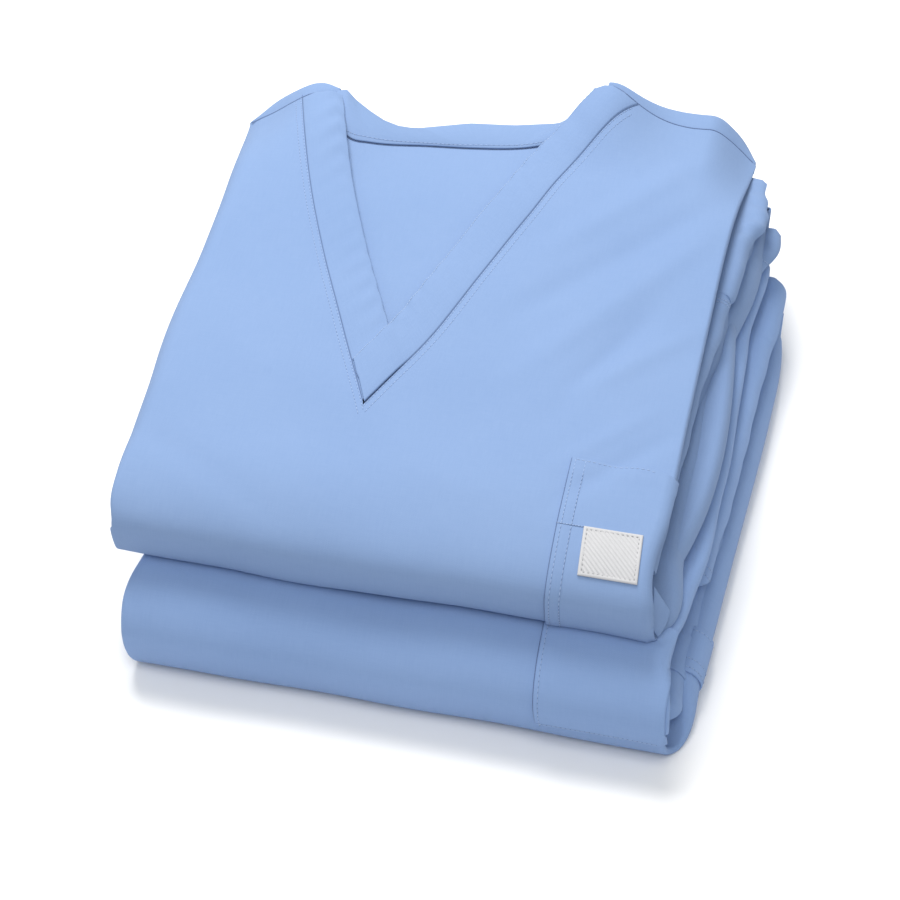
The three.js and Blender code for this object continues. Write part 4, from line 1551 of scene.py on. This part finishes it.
    def _seam_rows(self, side: Span) -> None:
        """Two rows of topstitching beside one seam of the V, and a dark row of painted shade in the seam's
        groove.
        """
        foot, top, spread = (-80 * MM, 167 * MM, 0.0) if side is Span.LEFT else (-78 * MM, 195 * MM, 24 * MM)
        for distance, thread in ((-1.0, 0.36 * MM), (-4.2, 0.42 * MM)):
            def line(share: Array, off: float, distance: float = distance) -> Array:
                y = foot + distance * 0.8 * MM + (166 * MM - foot) * share
                x, y = self.beside_seam(side, y + spread * share, distance * MM)
                return self.outer.on_top(x, y, off)

            name = f"neck_stitches_{side.value}_{int(-distance * 10)}"
            self.sew(name, line, self.seam_length, thread=thread)

        # A dark row along the seam of the V: painted shade in its groove.
        def groove(share: Array, off: float) -> Array:
            start = self.neck_point[1] + 2 * MM
            x, y = self.beside_seam(side, start + (top - start) * share, -0.15 * MM)
            return self.outer.on_top(x, y, off * 0.3 + 0.02 * MM)

        self.sew(f"neck_seam_shade_{side.value}", groove, self.seam_length, finish=SEAM_SHADE, pitch=1.5 * MM,
                 stitch=2.2 * MM, thread=0.42 * MM, holes=False)

    def build(self) -> None:
        """Builds every piece of the gown."""
        self.panels()
        self.neckline()
        self.shoulders()
        self.inner_layers()
        self.corner_tuck()
        self.pocket()
        self.stitching()


# -------------------------------------------------------------- the trousers
class Trousers(Garment):
    """The trousers, folded once across the legs, under the gown."""

    upper_node, lower_node = "leg_outer_upper", "leg_outer_lower"
    upper_body, lower_body = "trousers_upper", "trousers_lower"
    blend_half = 1.2 * MM
    undulation = (
        (0.45, 27, 20, 0, 1.9),
        (0.35, 41, 0, -36, 0.3),
        (0.25, 70, 0, 60, 2.2),
    )

    def relief(self, x: Array, y: Array, length: Array) -> Array:
        """Soft undulation of the folded legs."""
        return MM * waves(x, y, length, self.undulation)

    @cached_property
    def outer(self) -> Drape:
        """The outer leg panel, round the front fold to the underside."""
        left = SoftCurve([(-203, -145), (-192, -146), (-165, -143), (-100, -148), (136, -150)])
        lower_left = SoftCurve([(-203, -145), (-190, -142), (-150, -143), (136, -146)])
        right = SoftCurve([(-203, 151), (-193, 149), (-187, 147), (-180, 145), (-165, 145), (-149, 149),
                           (-125, 152), (-103, 155), (-56, 156), (-30, 157), (11, 156), (57, 155), (79, 154),
                           (100, 156), (119, 158), (150, 158)])
        lower_right = SoftCurve([(-203, 149), (-196, 152), (-188, 157), (-149, 162), (-117, 164), (-61, 167),
                                 (-25, 169), (8, 171), (50, 173), (109, 173), (131, 170)])
        path = FoldPath(
            front=self.upper[0].y, parting=self.parting, top=self.upper[1].z, bottom=self.lower[0].z,
            upper_reach=48 * MM, lower_reach=16 * MM, upper_back=146 * MM, lower_back=131 * MM,
            upper_turn=10 * MM, lower_turn=10 * MM,
        )
        return Drape(path, left, lower_left, right, lower_right,
                     SideFold(upper=12.5 * MM, lower=12.5 * MM, tip=4 * MM, upper_crease=0.0,
                              lower_crease=0.0),
                     SideFold(upper=6.0 * MM, lower=12.5 * MM, tip=2.0 * MM, upper_crease=0.2,
                              lower_crease=-0.1),
                     relief=self.relief)

    def build(self) -> None:
        """Builds every piece of the trousers."""
        sheet = ClothSheet("leg_outer_cloth", self.outer, LEG_BLUE, pitch=3.6 * MM)
        self.lay(sheet.build(), "leg_outer_upper", "leg_outer_lower", flat=sheet.flat_size(),
                 on="leg_inner_lower_cloth", half=Half.BOTH)
        self.inner_layers()
        self.thigh_pocket()

    def inner_layers(self) -> None:
        """Inner leg layers, hems and waistband, which show at their rims."""
        left = SoftCurve([(-200, -138), (143, -142)])
        upper_right = SoftCurve([(-106, 158), (-96, 158), (-71, 159), (-46, 161), (-16, 163), (24, 164),
                                 (54, 166), (83, 167), (106, 170), (126, 170), (139, 169), (144, 167)])
        lower_right = SoftCurve([(-192, 150), (-183, 154), (-160, 154), (-139, 155), (-121, 157), (-80, 160),
                                 (0, 164), (136, 168)])
        waist_right = SoftCurve([(100, 166), (126, 168), (144, 166)])
        low = self.lower[0].z
        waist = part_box("waistband")
        plies = (
            ("leg_inner_upper", upper_right, -106 * MM, 143 * MM, self.parting + 4.6 * MM, 45.5 * MM,
             Half.UPPER, 0.2, (8 * MM, 4.5 * MM), 0.0),
            ("waistband", waist_right, waist[0].y + 0.4 * MM, 144 * MM, self.parting + 1.2 * MM,
             self.parting + 4.4 * MM, Half.UPPER, 0.2, (0.0, 6 * MM), 0.4 * MM),
            ("leg_inner_lower", lower_right, -188 * MM, 128 * MM, low + 15.5 * MM, self.parting - 1.0 * MM,
             Half.LOWER, 1.3, (14 * MM, 6 * MM), 0.0),
        )
        for node, edge, y0, y1, z0, z1, half, phase, corners, gathers in plies:
            ply = InnerPly(f"{node}_cloth", LEG_BLUE, left, edge, y0, y1, z0, z1, phase=phase,
                           corners=corners, crease=-0.45, reach=12 * MM, gathers=gathers)
            self.lay(ply.build(), node, flat=ply.flat_size(), on="leg_outer_cloth", half=half)
            if node == "leg_inner_upper":
                self._hem_rows(ply, "leg_hem_upper", -101 * MM, half)
            elif node == "leg_inner_lower":
                self._rim_hem(ply, "leg_hem_left", -158 * MM, -132 * MM)
        self._wrap_hem("leg_hem_right", -154 * MM, -124 * MM)

    def _rim_hem(self, ply: InnerPly, name: str, front: float, back: float) -> None:
        """A doubled hem round the visible rim of an inner layer."""
        def where(across: Array, along: Array, off: Array) -> Array:
            return ply.spot(front + (back - front) * along, 0.95 * across, 1.0, off + 0.1 * MM)

        size = (26 * MM, back - front)
        piece = Patch(f"{name}_cloth", LEG_BLUE, where, size, thickness=0.9 * MM, pitch=1.5 * MM).build()
        self.lay(piece, name, flat=size, on="leg_inner_lower_cloth", half=Half.LOWER)
        self._hem_rows(ply, name, front + 3 * MM, Half.LOWER)

    def _wrap_hem(self, name: str, front: float, back: float) -> None:
        """A doubled hem that follows the lower fold of the outer sheet round its side."""
        drape = self.outer

        def wrap(share: Array, y: Array, off: Array | float) -> Array:
            length = drape.path.length_at(y, -1)
            radius = drape.right_fold.radius(length, drape.path)
            return drape.place(drape.right_lower(y) + radius * (math.pi * share - 1.0), length, off)

        def where(across: Array, along: Array, off: Array) -> Array:
            return wrap(0.25 + 0.72 * across, front + (back - front) * along, off + 0.1 * MM)

        size = (28 * MM, back - front)
        piece = Patch(f"{name}_cloth", LEG_BLUE, where, size, thickness=1.2 * MM, pitch=1.5 * MM).build()
        self.lay(piece, name, flat=size, on="leg_outer_cloth", half=Half.LOWER)
        for number, y in enumerate((front + 2.5 * MM, front + 8 * MM, back - 3 * MM)):
            def row(share: Array, off: float, y: float = y) -> Array:
                return wrap(0.5 + 0.45 * share, np.full(share.shape, y), off + 1.3 * MM)

            self.sew(f"{name}_stitches_{number}", row, 16 * MM, half=Half.LOWER, pitch=2.3 * MM)

    def _hem_rows(self, ply: InnerPly, name: str, y: float, half: Half) -> None:
        """Two rows of stitches across the visible rim of a hem."""
        for number in (0, 1):
            def row(share: Array, off: float, at: float = y + number * 6 * MM) -> Array:
                return ply.spot(np.full(share.shape, at), 0.05 + 0.6 * share, 1.0, off)

            self.sew(f"{name}_stitches_{number}", row, 16 * MM, half=half, pitch=2.3 * MM)

    def thigh_pocket(self) -> None:
        """The pocket on the leg with its stitched left seam and lower seam."""
        top, foot = 60 * MM, -8.5 * MM
        left, right = 78 * MM, 147 * MM
        size = wide, tall = right - left, top - foot

        def edge(along: Array) -> Array:
            return left + 3.5 * MM * (1 - along) ** 3

        def cloth(across: Array, along: Array, off: Array) -> Array:
            return self.outer.place(edge(along) + wide * across, foot + tall * along, off + 0.15 * MM)

        self.lay(Patch("thigh_pocket_cloth", LEG_BLUE, cloth, size, thickness=1.8 * MM).build(),
                 "thigh_pocket_upper", "thigh_pocket_lower", flat=size, on="leg_outer_cloth", half=Half.BOTH)

        def seam(share: Array, off: float) -> Array:
            return self.outer.place(edge(share) + 2.4 * MM, foot + tall * share, off + 1.95 * MM)

        self.sew("thigh_seam_stitches", seam, tall, half=Half.BOTH)

        # A dark row beside the thigh pocket's left edge: painted shade along the edge.
        def outer_edge(share: Array, off: float) -> Array:
            return self.outer.place(edge(share) - 0.3 * MM, foot + tall * share, off + 0.2 * MM)

        self.sew("thigh_pocket_edge", outer_edge, tall, half=Half.BOTH, finish=STITCH_SHADE, thread=0.5 * MM,
                 **PAINTED_SHADE_ROW)

        def foot_seam(share: Array, off: float) -> Array:
            return self.outer.place(edge(np.zeros(1)) + (wide - 6 * MM) * share + 1 * MM,
                                    np.full(share.shape, foot + 2 * MM), off + 1.95 * MM)

        self.sew("thigh_foot_stitches", foot_seam, wide, half=Half.LOWER)


# ---------------------------------------------------------------- the studio
@dataclass
class Studio:
    """A pale floor, soft light and the camera."""

    azimuth: float = 12.5
    elevation: float = 46.5
    distance: float = 1.3437
    lens: float = 96.0
    target: tuple[float, float, float] = (0.002, -0.0509, 0.054)
    lamp_colour: tuple[float, float, float] = (1.0, 0.985, 0.955)
    sky_colour: tuple[float, float, float, float] = (0.91, 0.955, 1.0, 1.0)
    sky_strength: float = 0.42
    floor_colour: tuple[float, float, float, float] = (0.93, 0.93, 0.935, 1.0)

    def camera(self) -> None:
        """Sets the camera at its angle, looking at the bundle."""
        data = bpy.data.cameras.new("camera")
        data.lens = self.lens
        data.sensor_width = 36.0
        eye = bpy.data.objects.new("camera", data)
        bpy.context.scene.collection.objects.link(eye)
        a, e = math.radians(self.azimuth), math.radians(self.elevation)
        back = np.array([math.sin(a) * math.cos(e), -math.cos(a) * math.cos(e), math.sin(e)])
        eye.location = np.array(self.target) + back * self.distance
        eye.rotation_euler = (math.pi / 2 - e, 0.0, a)
        bpy.context.scene.camera = eye

    def lamp(self, name: str, place: tuple[float, float, float], aim: tuple[float, float, float], size: float,
             power: float) -> None:
        """Adds one square soft light that points at a spot."""
        data = bpy.data.lights.new(name, "AREA")
        data.size = size
        data.energy = power
        data.color = self.lamp_colour
        lamp = bpy.data.objects.new(name, data)
        bpy.context.scene.collection.objects.link(lamp)
        lamp.location = place
        way = np.array(aim) - np.array(place)
        way = way / np.linalg.norm(way)
        pitch = math.acos(-way[2])
        turn = math.atan2(way[0], -way[1]) if abs(way[0]) + abs(way[1]) > 1e-9 else 0.0
        lamp.rotation_euler = (pitch, 0.0, turn + math.pi)

    def build(self) -> None:
        """Builds floor, lights, background and camera."""
        Bench.clear()
        bpy.ops.mesh.primitive_plane_add(size=12.0, location=(0.0, 0.0, -0.0002))
        floor = bpy.context.active_object
        floor.name = "floor"
        material = bpy.data.materials.new("floor")
        material.use_nodes = True
        shader = material.node_tree.nodes["Principled BSDF"]
        shader.inputs["Base Color"].default_value = self.floor_colour
        shader.inputs["Roughness"].default_value = 0.9
        floor.data.materials.append(material)
        world = bpy.data.worlds.new("soft_room")
        world.use_nodes = True
        sky = world.node_tree.nodes["Background"].inputs
        sky["Color"].default_value = self.sky_colour
        sky["Strength"].default_value = self.sky_strength
        bpy.context.scene.world = world
        self.lamp("overhead", (-0.35, 0.55, 1.4), (0.0, 0.0, 0.0), 0.75, 25.0)
        self.lamp("fill", (0.15, -0.85, 1.65), (0.0, 0.0, 0.0), 0.9, 13.0)
        bpy.context.scene.view_settings.view_transform = "Standard"
        self.camera()


def main() -> None:
    """Builds the gown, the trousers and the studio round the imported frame."""
    logging.basicConfig(level=logging.INFO, format="%(message)s")
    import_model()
    Studio().build()
    for garment in (Gown(), Trousers()):
        garment.build()


if __name__ == "__main__":
    main()
